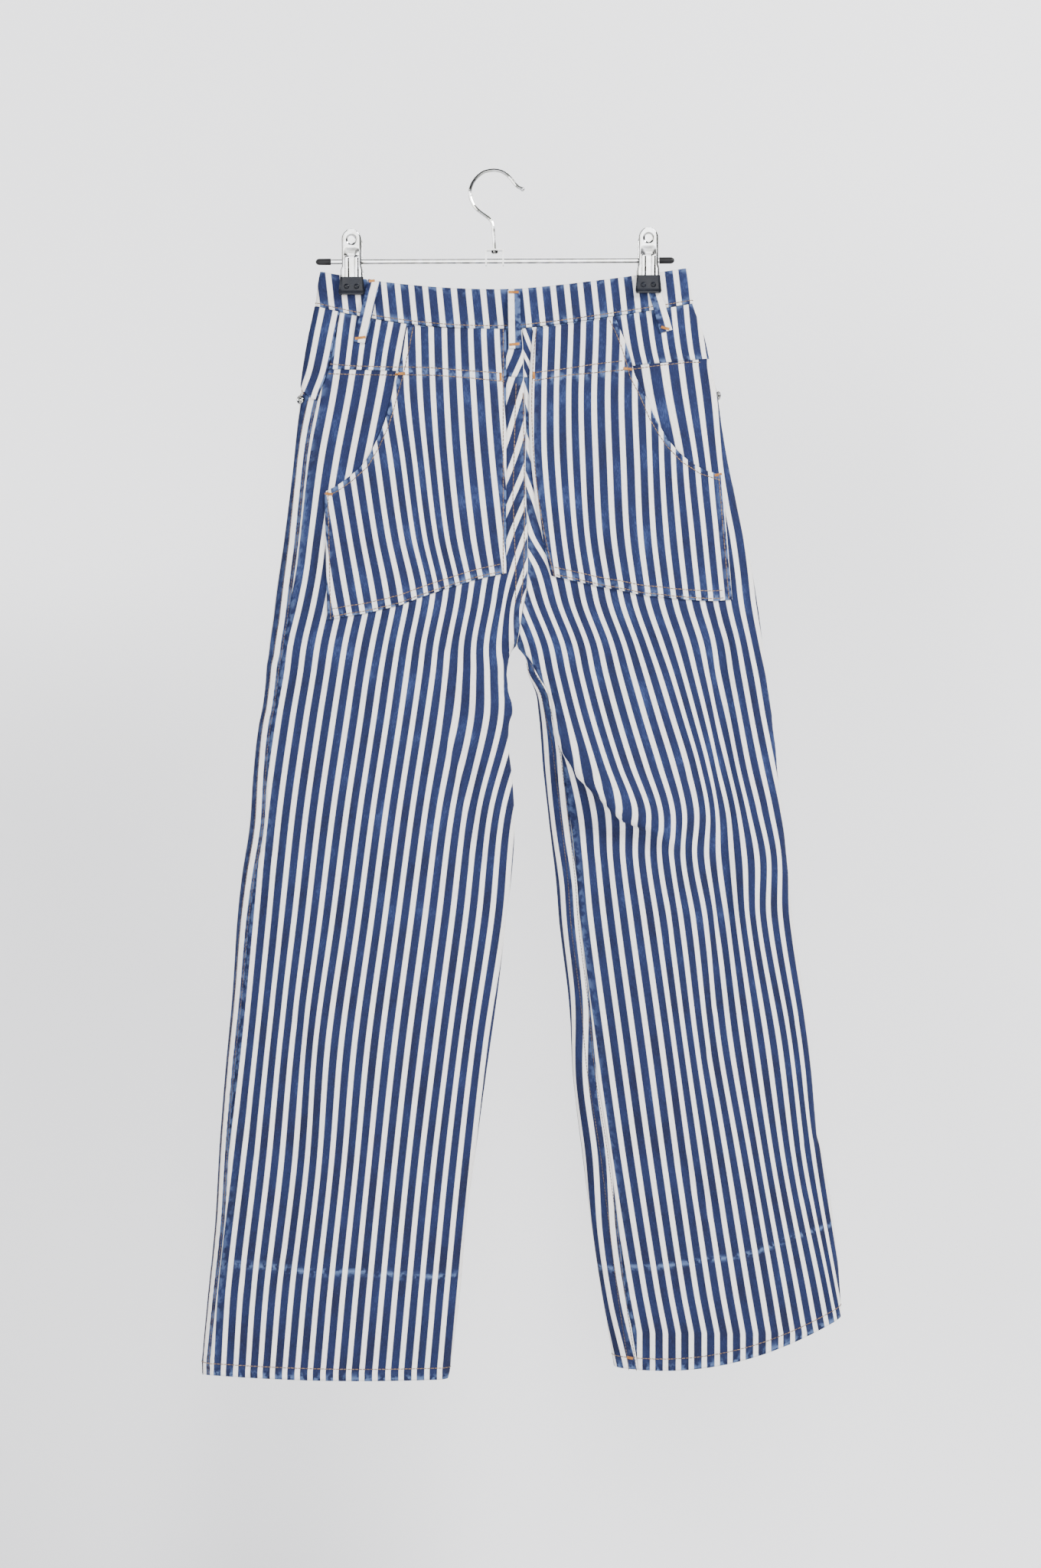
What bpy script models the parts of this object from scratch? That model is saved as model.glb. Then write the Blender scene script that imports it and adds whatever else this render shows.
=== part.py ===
"""Wide striped jeans, held by the waistband in the two clips of a metal trouser hanger.

The frame is in metres, +Z up. The origin is the inside of the hook's crown, where the hanger bears on its rail.
The back of the jeans faces -Y, and the wearer's left leg is at -X. The tables are in millimetres.
"""

import math

import bpy
from mathutils import Vector

MM = 0.001

GAP = 0.3  # between pieces that are sewn or laid together
CLOTH = 1.3  # one layer of denim
HEM = 2.6  # denim folded up and stitched
PATCH = 1.2  # pocket cloth
LAY = 0.5  # a patch stands this far off the panel below it
BAND = 3.0  # waistband, two layers and interlining
BAND_OUT = 0.8  # the band stands proud of the panels
BAND_TOP = -37.0  # height of the band, above its seam
EDGE_COLUMN = 0.7  # first column of faces beside a seam
FRONT_DEPTH = 0.85  # the front hangs a little flatter than the back
CENTRE_SWELL = 0.9  # share of the swell that is left at the centre seams

YOKE = 50.0  # distances below the waistband seam
RIVET = 78.0
CROTCH = 304.0
CROTCH_RISE = 30.0  # height of the seat's curve from back to front
HEM_STITCH = 954.0
HEM_EDGE = 967.0

BAR_R = 2.3
BAR_Z = -82.5
BAR_TILT = math.radians(-0.25)
WIRE_R = 1.6

# The outline from the back: the two sides, the centre seam down to the crotch, and the inside of each leg.
LEFT_SIDE = (
    # down, x, z
    (-37, -160.0, -92.5),
    (0, -164.5, -124.5),
    (24, -170.5, -153.0),
    (50, -175.5, -182.5),
    (78, -179.0, -211.0),
    (105, -182.0, -238.5),
    (146, -186.5, -281.0),
    (202, -193.5, -337.0),
    (250, -201.0, -386.5),
    (276, -204.5, -414.5),
    (292, -207.0, -432.5),
    (304, -208.5, -447.0),
    (314, -210.0, -455.5),
    (330, -211.0, -471.0),
    (345, -212.5, -485.0),
    (358, -214.0, -495.5),
    (373, -217.0, -509.5),
    (395, -220.0, -531.0),
    (425, -223.0, -562.5),
    (465, -226.0, -604.5),
    (508, -232.5, -647.0),
    (552, -237.0, -689.0),
    (620, -241.5, -759.5),
    (690, -248.0, -830.0),
    (760, -253.5, -900.5),
    (830, -257.5, -971.0),
    (900, -264.5, -1041.0),
    (954, -269.5, -1096.5),
    (967, -269.5, -1109.0),
)
RIGHT_SIDE = (
    # down, x, z
    (-37, 178.0, -89.5),
    (0, 183.5, -122.0),
    (24, 193.5, -149.0),
    (50, 199.0, -173.0),
    (78, 206.5, -206.5),
    (105, 211.0, -238.5),
    (146, 219.0, -282.5),
    (202, 233.5, -340.5),
    (250, 242.0, -390.0),
    (276, 247.0, -425.0),
    (292, 249.0, -446.5),
    (304, 252.0, -464.0),
    (314, 253.0, -473.0),
    (330, 254.5, -485.0),
    (345, 256.5, -499.0),
    (358, 257.5, -513.0),
    (373, 260.0, -531.0),
    (395, 262.0, -555.5),
    (425, 265.5, -583.5),
    (465, 269.0, -619.0),
    (508, 272.5, -654.0),
    (552, 276.0, -689.0),
    (620, 285.0, -752.5),
    (690, 292.0, -816.0),
    (760, 298.5, -879.5),
    (830, 310.0, -942.5),
    (900, 317.0, -999.0),
    (954, 320.5, -1046.5),
    (967, 320.5, -1056.5),
)
CENTRE = (
    # down, x, z
    (-37, 23.0, -109.0),
    (0, 25.5, -145.5),
    (24, 27.0, -167.0),
    (50, 27.5, -191.0),
    (78, 28.5, -216.0),
    (105, 29.5, -242.0),
    (146, 29.0, -282.5),
    (202, 31.0, -337.0),
    (250, 30.5, -383.0),
    (276, 25.5, -411.0),
    (292, 23.0, -427.5),
    (304, 20.5, -438.0),
)
LEFT_INSIDE = (
    # down, x, z
    (304, 20.5, -438.0),
    (314, 14.5, -447.0),
    (330, 12.0, -464.0),
    (345, 15.5, -481.5),
    (358, 18.5, -495.5),
    (373, 14.5, -509.5),
    (395, 14.0, -531.0),
    (425, 17.5, -562.5),
    (465, 19.5, -604.5),
    (508, 17.0, -647.0),
    (552, 12.0, -689.0),
    (620, 3.5, -759.5),
    (690, -6.5, -830.0),
    (760, -16.0, -900.5),
    (830, -25.5, -971.0),
    (900, -31.5, -1041.0),
    (954, -40.0, -1104.5),
    (967, -42.0, -1113.5),
)
RIGHT_INSIDE = (
    # down, x, z
    (304, 20.5, -438.0),
    (314, 28.5, -448.5),
    (330, 31.5, -464.0),
    (345, 38.5, -481.5),
    (358, 41.0, -499.0),
    (373, 43.0, -520.5),
    (395, 45.0, -548.5),
    (425, 48.0, -576.5),
    (465, 52.0, -612.0),
    (508, 57.0, -654.0),
    (552, 60.5, -696.5),
    (620, 69.0, -766.5),
    (690, 73.0, -837.0),
    (760, 81.5, -907.5),
    (830, 90.5, -978.0),
    (900, 100.0, -1041.0),
    (954, 109.0, -1091.5),
    (967, 110.5, -1102.0),
)
# How far the middle of each level line dips below a straight line.
LEFT_SAG = (
    # down, sag
    (-37, 5.5),
    (0, 7.5),
    (24, 4.0),
    (50, -1.0),
    (105, 0.0),
    (900, 0.0),
    (967, 1.0),
)
RIGHT_SAG = (
    # down, sag
    (-37, 1.5),
    (0, 1.5),
    (50, 0.0),
    (465, 0.0),
    (620, 4.0),
    (760, 9.0),
    (900, 15.0),
    (967, 17.5),
)
# Half of the depth: the round of the side folds, and the swell between them.
DEPTH = (
    # down, fold_r, swell
    (-37, 3.6, 3.0),
    (0, 3.6, 3.5),
    (50, 4.5, 5.0),
    (105, 5.5, 7.0),
    (202, 6.5, 9.0),
    (304, 7.0, 10.0),
    (425, 7.5, 11.0),
    (620, 8.0, 11.0),
    (830, 8.5, 12.0),
    (967, 9.0, 13.0),
)
# Seams, as distances from the silhouette: above 0 they show on the back, below 0 they lie on the front.
LEFT_OUTSEAM = (
    # down, from_edge
    (0, 23.5),
    (50, 23.0),
    (78, 17.0),
    (132, 13.0),
    (270, 16.0),
    (345, 13.5),
    (480, 15.0),
    (620, 11.5),
    (830, 10.0),
    (967, 9.0),
)
RIGHT_OUTSEAM = (
    # down, from_edge
    (0, -4.5),
    (967, -4.0),
)
LEFT_INSEAM = (
    # down, from_edge
    (304, 0.0),
    (345, -14.0),
    (967, -16.0),
)
RIGHT_INSEAM = (
    # down, from_edge
    (304, 0.0),
    (345, 14.0),
    (395, 20.0),
    (620, 20.0),
    (760, 26.0),
    (967, 23.0),
)
# Mouth of each front pocket, as a distance along the cloth from the outer seam.
POCKET_MOUTH = (
    # down, from_seam
    (0, 78.0),
    (24, 60.0),
    (50, 38.0),
    (66, 21.0),
    (78, 5.0),
)
# Large folds in the back of the legs: a ridge (or a groove, below 0) from one end to the other.
LEFT_FOLDS = (
    # x1, z1, x2, z2, width_left, width_right, height
    (-38, -445, -20, -632, 12, 14, -5.0),
    (-184, -790, -196, -990, 14, 14, -3.0),
)
RIGHT_FOLDS = (
    # x1, z1, x2, z2, width_left, width_right, height
    (48, -498, 96, -573, 8, 40, 9.0),
    (96, -573, 160, -612, 10, 44, 9.0),
    (209, -452, 210, -690, 13, 16, -6.0),
    (180, -562, 167, -690, 10, 14, -3.0),
    (208, -690, 204, -815, 12, 16, -4.0),
    (172, -915, 200, -960, 12, 12, -3.0),
)
# Levels at which the panels are shaped, closest where the legs part.
LEVELS = (
    0, 16, 33, 50, 64, 78, 100, 125, 150, 185, 220, 255, 276, 288, 296, 300.5, 302.8,
    304, 307, 311, 318, 330, 345, 358, 373, 392, 415, 445, 480, 520, 560, 600, 645,
    690, 735, 780, 825, 870, 915, 953.6, 954, 967,
)  # fmt: skip

# Patch pockets on the back: one row per column, mouth and foot of it, and how far its middle leans in.
LEFT_POCKET = (
    # top_x, top_z, foot_x, foot_z, bow
    (11.5, -146.2, 11.5, -371.5, 0),
    (-16.0, -145.9, -16.0, -377.5, 0),
    (-43.5, -145.4, -43.5, -386.0, 0),
    (-68.5, -144.2, -68.5, -394.5, 0),
    (-79.0, -143.6, -79.0, -398.5, 0),
    (-83.0, -164.5, -83.0, -400.0, 0),
    (-87.5, -186.0, -87.5, -401.5, 0),
    (-92.0, -202.0, -92.0, -402.5, 0),
    (-97.0, -221.0, -97.0, -404.0, 0),
    (-102.0, -236.5, -102.0, -405.0, 0),
    (-110.5, -255.0, -110.5, -407.0, 0),
    (-119.5, -270.5, -119.5, -409.0, 0),
    (-134.0, -283.5, -134.0, -411.0, 0),
    (-145.5, -291.5, -144.5, -413.0, 0),
    (-155.5, -296.5, -153.0, -414.0, 0),
)
RIGHT_POCKET = (
    # top_x, top_z, foot_x, foot_z, bow
    (36.5, -146.3, 53.0, -374.0, -11),
    (60.0, -142.9, 75.5, -379.0, -10),
    (84.5, -139.9, 99.5, -384.5, -9),
    (102.0, -137.3, 116.0, -387.5, -8),
    (111.0, -136.0, 125.5, -389.5, -7),
    (117.0, -148.5, 130.0, -390.5, -7),
    (122.0, -161.0, 134.5, -391.5, -6),
    (126.5, -175.5, 138.5, -392.0, -6),
    (130.0, -189.5, 142.0, -392.5, -5),
    (137.5, -203.5, 148.5, -393.0, -5),
    (148.0, -228.0, 158.5, -394.0, -4),
    (155.5, -241.0, 166.0, -395.0, -4),
    (162.5, -251.5, 173.0, -395.5, -3),
    (176.0, -265.5, 186.5, -396.5, -2),
    (192.0, -275.5, 203.0, -397.0, -1),
    (210.0, -281.0, 219.5, -395.5, 0),
)
POCKET_ROWS = 8

LOOP_THICK = 1.5
LOOP_WIDE = 11.5
LOOPS = (
    # name, side, top_x, top_z, foot_x, foot_z, rise_from
    ("belt_loop_back_left", -1, -110.0, -101.5, -123.5, -159.0, 0.10),
    ("belt_loop_back_centre", -1, 18.5, -110.5, 19.5, -164.5, 0.10),
    ("belt_loop_back_right", -1, 143.5, -96.0, 159.0, -148.5, 0.42),
    ("belt_loop_front_left", 1, -82.0, -105.5, -84.0, -160.0, 0.10),
    ("belt_loop_front_right", 1, 118.0, -99.5, 120.0, -153.0, 0.10),
)
LOOP_RISE = 2.0

# The hook's wire, along its centre, from the tip over the crown to the foot.
HOOK = (
    # x, z
    (26.5, -15.8),
    (22.5, -14.0),
    (19.0, -10.5),
    (16.0, -6.5),
    (12.0, -2.6),
    (7.0, 0.4),
    (0.0, 1.6),
    (-8.5, 0.2),
    (-15.0, -4.2),
    (-19.5, -10.0),
    (-21.8, -16.0),
    (-21.9, -20.5),
    (-20.9, -26.0),
    (-18.5, -31.0),
    (-15.0, -35.0),
    (-10.0, -39.0),
    (-5.0, -42.5),
    (-2.0, -46.0),
    (-0.8, -50.0),
    (-0.4, -55.5),
    (0.2, -63.0),
    (0.6, -71.3),
)

MATERIALS = (
    # name, red, green, blue, metallic, roughness
    ("striped_denim", 0.42, 0.44, 0.50, 0.0, 0.9),
    ("bright_zinc", 0.75, 0.76, 0.78, 1.0, 0.25),
    ("smoky_vinyl", 0.05, 0.055, 0.06, 0.0, 0.3),
    ("black_rubber", 0.02, 0.02, 0.02, 0.0, 0.6),
    ("dull_nickel", 0.55, 0.54, 0.52, 1.0, 0.4),
)


def clear_scene():
    for obj in list(bpy.data.objects):
        bpy.data.objects.remove(obj, do_unlink=True)


def make_materials():
    for name, red, green, blue, metallic, roughness in MATERIALS:
        material = bpy.data.materials.new(name)
        material.use_nodes = True
        shader = material.node_tree.nodes["Principled BSDF"]
        shader.inputs["Base Color"].default_value = (red, green, blue, 1)
        shader.inputs["Metallic"].default_value = metallic
        shader.inputs["Roughness"].default_value = roughness


def along(table, at, column=1):
    """Reads a column of a table at a level, on a smooth curve through its rows."""
    if at <= table[0][0]:
        return table[0][column]
    if at >= table[-1][0]:
        return table[-1][column]
    i = max(k for k in range(len(table) - 1) if table[k][0] <= at)
    x0, x1 = table[i][0], table[i + 1][0]
    y0, y1 = table[i][column], table[i + 1][column]
    slope = (y1 - y0) / (x1 - x0)
    before = slope if i == 0 else (y1 - table[i - 1][column]) / (x1 - table[i - 1][0])
    last = i + 2 == len(table)
    after = slope if last else (table[i + 2][column] - y0) / (table[i + 2][0] - x0)
    t = (at - x0) / (x1 - x0)
    step = x1 - x0
    return (
        y0 * (1 + 2 * t) * (1 - t) ** 2
        + before * step * t * (1 - t) ** 2
        + y1 * t * t * (3 - 2 * t)
        + after * step * t * t * (t - 1)
    )


class Level:
    """One level line round a half of the jeans: a lens, open at the centre above the crotch."""

    def __init__(self, half, down, outset=0.0):
        inside = CENTRE if down <= CROTCH else half["leg"]
        self.folds = half["folds"]
        self.side = half["side"]
        self.down = down
        self.outer_x = along(half["edge"], down, 1) + self.side * outset
        self.outer_z = along(half["edge"], down, 2)
        self.inner_x = along(inside, down, 1) + self.side * GAP * 0.6
        self.inner_z = along(inside, down, 2)
        self.sag = along(half["sag"], down)
        self.fold_r = along(DEPTH, down, 1) + outset
        self.swell = along(DEPTH, down, 2)
        self.width = abs(self.outer_x - self.inner_x)
        reach = (down - (CROTCH - CROTCH_RISE)) / CROTCH_RISE
        self.open = math.sqrt(1 - min(1.0, max(0.0, reach)) ** 2)

    def height(self, t):
        dip = self.sag * 4 * t * (1 - t)
        return self.inner_z + (self.outer_z - self.inner_z) * t - dip

    def depth(self, t, front):
        """Half of the thickness at a share t of the way from the centre to the side."""
        inner, outer = t * self.width, (1 - t) * self.width

        def quarter(distance):
            return math.sqrt(1 - (1 - min(1.0, distance / self.fold_r)) ** 2)

        round_in = self.open + (1 - self.open) * quarter(inner)
        centre = self.open * CENTRE_SWELL * (1 - t) ** 3
        swell = self.swell * math.hypot(math.sin(math.pi * t), centre)
        if front:
            swell *= FRONT_DEPTH
        depth = self.fold_r * quarter(outer) * round_in + swell
        if not front:
            fade = min(1.0, outer / 20.0) * min(1.0, inner / 20.0 + self.open)
            depth += fade * self.folded(t)
        return depth

    def folded(self, t):
        x = self.inner_x + (self.outer_x - self.inner_x) * t
        z = self.height(t)
        total = 0.0
        for x1, z1, x2, z2, left, right, tall in self.folds:
            run_x, run_z = x2 - x1, z2 - z1
            length = math.hypot(run_x, run_z)
            share = ((x - x1) * run_x + (z - z1) * run_z) / length**2
            beside = ((z - z1) * run_x - (x - x1) * run_z) / length
            past = max(0.0, -share, share - 1) * length
            spread = right if beside > 0 else left
            total += tall * math.exp(-((beside / spread) ** 2) - (past / 25.0) ** 2)
        return total

    def point(self, t, front):
        x = self.inner_x + (self.outer_x - self.inner_x) * t
        y = self.depth(t, front) * (1 if front else -1)
        return Vector((x, y, self.height(t)))

    def ring(self):
        """Points round the lens from the centre, over the back, round the side and over the front."""
        fold = self.fold_r / self.width
        turn = [fold * (1 - math.cos(math.radians(a))) for a in range(0, 90, 10)]
        flat = [fold + (1 - 2 * fold) * k / 40 for k in range(41)]
        shares = turn + flat + [1 - t for t in reversed(turn)]
        back = [self.point(t, False) for t in shares]
        return back + [self.point(t, True) for t in reversed(shares[:-1])]

    def outline(self):
        """The ring's points, the distance along to each, and the distance to the side."""
        points = self.ring()
        along_it = [0.0]
        for a, b in zip(points, points[1:]):
            along_it.append(along_it[-1] + (b - a).length)
        return points, along_it, along_it[len(points) // 2]

    def arc(self, from_edge):
        """Distance along the cloth for a distance in from the silhouette."""
        flat = abs(from_edge)
        turned = self.fold_r * math.acos(1 - min(1.0, flat / self.fold_r))
        return math.copysign(turned + max(0.0, flat - self.fold_r), from_edge)


def at_distance(points, along_it, distance):
    """The point at a distance round a ring, past either end where the ring is closed."""
    total = along_it[-1]
    distance %= total
    low, high = 0, len(points) - 1
    while high - low > 1:
        middle = (low + high) // 2
        if along_it[middle] <= distance:
            low = middle
        else:
            high = middle
    share = (distance - along_it[low]) / max(1e-9, along_it[high] - along_it[low])
    return points[low].lerp(points[high], share)


def stations(start, end, columns):
    """Distances for the edges of the columns, closer together towards both seams."""
    inner, outer = start + EDGE_COLUMN, end - EDGE_COLUMN
    between = []
    for k in range(columns + 1):
        u = k / columns
        eased = u - 0.6 * math.sin(2 * math.pi * u) / (2 * math.pi)
        between.append(inner + (outer - inner) * eased)
    return [start, *between, end]


def seams(half, level, along_it, side_at):
    """Where the inside seam and the outer seam cross a level."""
    inside = 0.0
    if level.down >= CROTCH:
        inside = level.arc(along(half["inseam"], level.down))
    outside = side_at - level.arc(along(half["outseam"], level.down))
    return inside, outside


def sheet_object(name, grid, turn, thickness, material, thin_rows=None):
    """A sheet of cloth: an open grid of points, given its thickness on the inside."""
    wide = len(grid[0])
    faces = []
    for r in range(len(grid) - 1):
        for c in range(wide - 1):
            a, b = r * wide + c, (r + 1) * wide + c
            faces.append((a, a + 1, b + 1, b) if turn else (a, b, b + 1, a + 1))
    mesh = bpy.data.meshes.new(name)
    mesh.from_pydata([p * MM for row in grid for p in row], [], faces)
    mesh.shade_smooth()
    obj = bpy.data.objects.new(name, mesh)
    bpy.data.collections["jeans_on_clip_hanger"].objects.link(obj)
    mesh.materials.append(bpy.data.materials[material])
    solid = obj.modifiers.new("thickness", "SOLIDIFY")
    solid.thickness = thickness * MM
    solid.offset = -1
    if thin_rows is not None:
        group = obj.vertex_groups.new(name="doubled")
        doubled = [i for i in range(thin_rows * wide, len(grid) * wide)]
        group.add(doubled, 1.0, "REPLACE")
        solid.vertex_group = "doubled"
        solid.thickness_vertex_group = CLOTH / thickness
    return obj


def levels_between(top, foot):
    end = foot if foot == HEM_EDGE else foot - GAP / 2
    inside = [down for down in LEVELS if top < down < foot and down != RIVET]
    if top < RIVET < foot:
        inside += [RIVET - GAP / 2, RIVET + GAP / 2]
    return [top + GAP / 2, *sorted(inside), end]


def body_panel(name, half, top, foot, columns, piece):
    """A panel of the body between two of its seams, from one level to another."""
    grid = []
    downs = levels_between(top, foot)
    for down in downs:
        level = Level(half, down)
        points, along_it, side_at = level.outline()
        inside, outside = seams(half, level, along_it, side_at)
        total = along_it[-1]
        mouth = outside
        if down < RIVET:
            mouth = outside + along(POCKET_MOUTH, down)
        start, end = {
            "back": (inside, outside),
            "facing": (outside, mouth),
            "front": (mouth, total + inside),
        }[piece]
        row = [
            at_distance(points, along_it, min(s, total - 1e-4) if level.open else s)
            for s in stations(start + GAP / 2, end - GAP / 2, columns)
        ]
        grid.append(row)
    thin_rows = None
    thickness = CLOTH
    if foot == HEM_EDGE:
        thin_rows = sum(down < HEM_STITCH for down in downs)
        thickness = HEM
    return sheet_object(
        name, grid, half["side"] < 0, thickness, "striped_denim", thin_rows
    )


def skin(half, x, z, front=False, outset=0.0):
    """Depth of the cloth's outer face at a place seen from the back."""
    down = 0.0
    for _ in range(12):
        level = Level(half, down, outset)
        t = min(1.0, max(0.0, (x - level.inner_x) / (level.outer_x - level.inner_x)))
        down += level.height(t) - z
        down = min(HEM_EDGE, max(BAND_TOP, down))
    return level.depth(t, front)


def waistband():
    """One strip round both halves, its ends meeting at the front."""
    grid = []
    for down in (BAND_TOP, BAND_TOP / 2, -GAP):
        row = []
        for half in (HALF_LEFT, HALF_RIGHT):
            points, along_it, side_at = Level(half, down, BAND_OUT).outline()
            end = along_it[-1] - GAP / 2
            front = stations(side_at, end, 9)
            back = stations(0.0, side_at, 11)
            stops = back[:-1] + front
            quarter = [at_distance(points, along_it, s) for s in stops]
            row += quarter[::-1] if half is HALF_LEFT else quarter[1:]
        grid.append(row)
    return sheet_object("waistband", grid, False, BAND, "striped_denim")


def patch_pocket(name, half, table):
    """A big patch laid on the back, its mouth cut in a curve towards the side."""
    grid = []
    for r in range(POCKET_ROWS + 1):
        share = r / POCKET_ROWS
        row = []
        for top_x, top_z, foot_x, foot_z, bow in table:
            x = top_x + (foot_x - top_x) * share + bow * 4 * share * (1 - share)
            z = top_z + (foot_z - top_z) * share
            row.append(Vector((x, -skin(half, x, z) - LAY - PATCH, z)))
        grid.append(row)
    return sheet_object(name, grid, half["side"] < 0, PATCH, "striped_denim")


def belt_loop(name, side, top_x, top_z, foot_x, foot_z, rise_from):
    """A strip over the waistband, tacked at its two ends and free between them."""
    grid = []
    run = Vector((foot_x - top_x, 0, foot_z - top_z))
    across = Vector((-run.z, 0, run.x)).normalized() * LOOP_WIDE / 2
    middle = (1 + rise_from) / 2
    for share in (0.0, rise_from, (rise_from + middle) / 2, middle, 0.82, 0.92, 1.0):
        centre = Vector((top_x, 0, top_z)) + run * share
        lift = max(0.0, min(share - rise_from, 0.92 - share)) / 0.12
        row = []
        for shift in (-1, -0.33, 0.33, 1):
            place = centre + across * shift
            half = HALF_LEFT if place.x < Level(HALF_LEFT, 0).inner_x else HALF_RIGHT
            depth = skin(half, place.x, place.z, side > 0, BAND_OUT)
            place.y = side * (depth + LAY + LOOP_THICK + LOOP_RISE * min(1.0, lift))
            row.append(place)
        grid.append(row)
    return sheet_object(name, grid, side > 0, LOOP_THICK, "striped_denim")


def link(obj, name, material, parent=None):
    """Names an object just added, puts it in the model's collection and gives it its material."""
    obj.name = name
    for collection in list(obj.users_collection):
        collection.objects.unlink(obj)
    bpy.data.collections["jeans_on_clip_hanger"].objects.link(obj)
    obj.data.materials.clear()
    obj.data.materials.append(bpy.data.materials[material])
    if parent is not None:
        obj.parent = parent
    return obj


def turned(name, profile, steps, axis, material, parent=None):
    """A profile of radius and distance, turned round its axis."""
    mesh = bpy.data.meshes.new(name)
    count = len(profile)
    mesh.from_pydata(
        [(radius * MM, 0, at * MM) for radius, at in profile],
        [(i, i + 1) for i in range(count - 1)],
        [],
    )
    obj = bpy.data.objects.new(name, mesh)
    bpy.context.scene.collection.objects.link(obj)
    screw = obj.modifiers.new("turn", "SCREW")
    screw.steps = steps
    screw.render_steps = steps
    screw.use_merge_vertices = True
    screw.merge_threshold = 0.00001
    obj.rotation_euler = axis
    return link(obj, name, material, parent)


def rounded_box(name, size, centre, bevel, material, parent=None):
    bpy.ops.mesh.primitive_cube_add(size=1, location=[c * MM for c in centre])
    obj = bpy.context.object
    obj.scale = [s * MM for s in size]
    bpy.ops.object.transform_apply(location=False, rotation=False, scale=True)
    if bevel:
        edge = obj.modifiers.new("edges", "BEVEL")
        edge.width = bevel * MM
        edge.segments = 2
    return link(obj, name, material, parent)


def cutter(obj):
    obj.hide_render = True
    obj.display_type = "WIRE"
    for collection in list(obj.users_collection):
        collection.objects.unlink(obj)
    bpy.data.collections["cutters"].objects.link(obj)


def cut(obj, tool):
    boolean = obj.modifiers.new("cut " + tool.name, "BOOLEAN")
    boolean.object = tool


def cap_profile(radius, length, tip):
    """A rubber cap: round at its outer end, flat at the other."""
    arc = [
        (radius * math.cos(a), length - tip + tip * math.sin(a))
        for a in (math.radians(step * 18) for step in range(6))
    ]
    arc[-1] = (0.0, length)
    return [*reversed(arc), (radius, 0.0), (0.0, 0.0)]


def rivet(name, place, facing, radius=3.8, tall=1.5):
    """A low dome on the cloth, facing outwards."""
    profile = [
        (0.0, tall),
        (radius * 0.5, tall * 0.92),
        (radius * 0.85, tall * 0.6),
        (radius, tall * 0.2),
        (radius, 0.0),
        (0.0, 0.0),
    ]
    turn = Vector((0, 0, 1)).rotation_difference(facing).to_euler()
    obj = turned(name, profile, 16, turn, "dull_nickel")
    obj.location = (place + facing * (GAP + 0.15)) * MM
    return obj


def outline_plate(name, outline, thick, place, tilt, material, parent):
    """A flat plate from a closed outline of x and z, set upright and leaned."""
    data = bpy.data.curves.new(name, "CURVE")
    data.dimensions = "2D"
    data.fill_mode = "BOTH"
    data.extrude = thick / 2 * MM
    spline = data.splines.new("POLY")
    spline.points.add(len(outline) - 1)
    for spot, (x, z) in zip(spline.points, outline):
        spot.co = (x * MM, z * MM, 0, 1)
    spline.use_cyclic_u = True
    obj = bpy.data.objects.new(name, data)
    bpy.context.scene.collection.objects.link(obj)
    obj.rotation_euler = (math.radians(90) + tilt, 0, 0)
    obj.location = [p * MM for p in place]
    return link(obj, name, material, parent)


def clip_outline(half_wide, foot_wide, tall):
    """A clip's plate: round at the top, a little wider at the foot."""
    arc = [
        (
            half_wide * math.cos(math.radians(a)),
            tall - half_wide + half_wide * math.sin(math.radians(a)),
        )
        for a in range(0, 181, 15)
    ]
    return [(foot_wide, 0.0), (half_wide, 7.0), *arc, (-half_wide, 7.0), (-foot_wide, 0.0)]


def clip(side_name, half, centre_x, parent, loop_below):
    """A sprung clip: two leaned plates, their vinyl tips and the spring round the bar."""
    plate_tall, plate_thick, tip_tall, tip_thick = 44.8, 1.0, 14.8, 3.0
    foot_z = -16.8
    lean = math.radians(8.5)
    for face, name in ((-1, "back"), (1, "front")):
        reach = max(
            skin(half, centre_x + dx, BAR_Z + foot_z - dz, face > 0, BAND_OUT)
            for dx in (-12, 0, 12)
            for dz in (0, 8, 15)
        )
        if loop_below and face < 0:
            reach += LAY + LOOP_THICK
        tip_y = face * (reach + GAP + tip_thick / 2)
        rounded_box(
            f"clip_tip_{side_name}_{name}",
            (23.4, tip_thick, tip_tall),
            (centre_x, tip_y, foot_z - GAP - tip_tall / 2),
            0.8,
            "smoky_vinyl",
            parent,
        )
        outline_plate(
            f"clip_plate_{side_name}_{name}",
            clip_outline(9.0, 10.2, plate_tall),
            plate_thick,
            (centre_x, tip_y, foot_z + 0.2),
            -face * lean,
            "bright_zinc",
            parent,
        )
    inside, outside = BAR_R + GAP, BAR_R + GAP + 2.0
    spring = turned(
        f"clip_spring_{side_name}",
        [(outside, 5.0), (outside, -5.0), (inside, -5.0), (inside, 5.0), (outside, 5.0)],
        16,
        (0, math.radians(90), 0),
        "bright_zinc",
        parent,
    )
    spring.location = (centre_x * MM, 0, 0)


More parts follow.
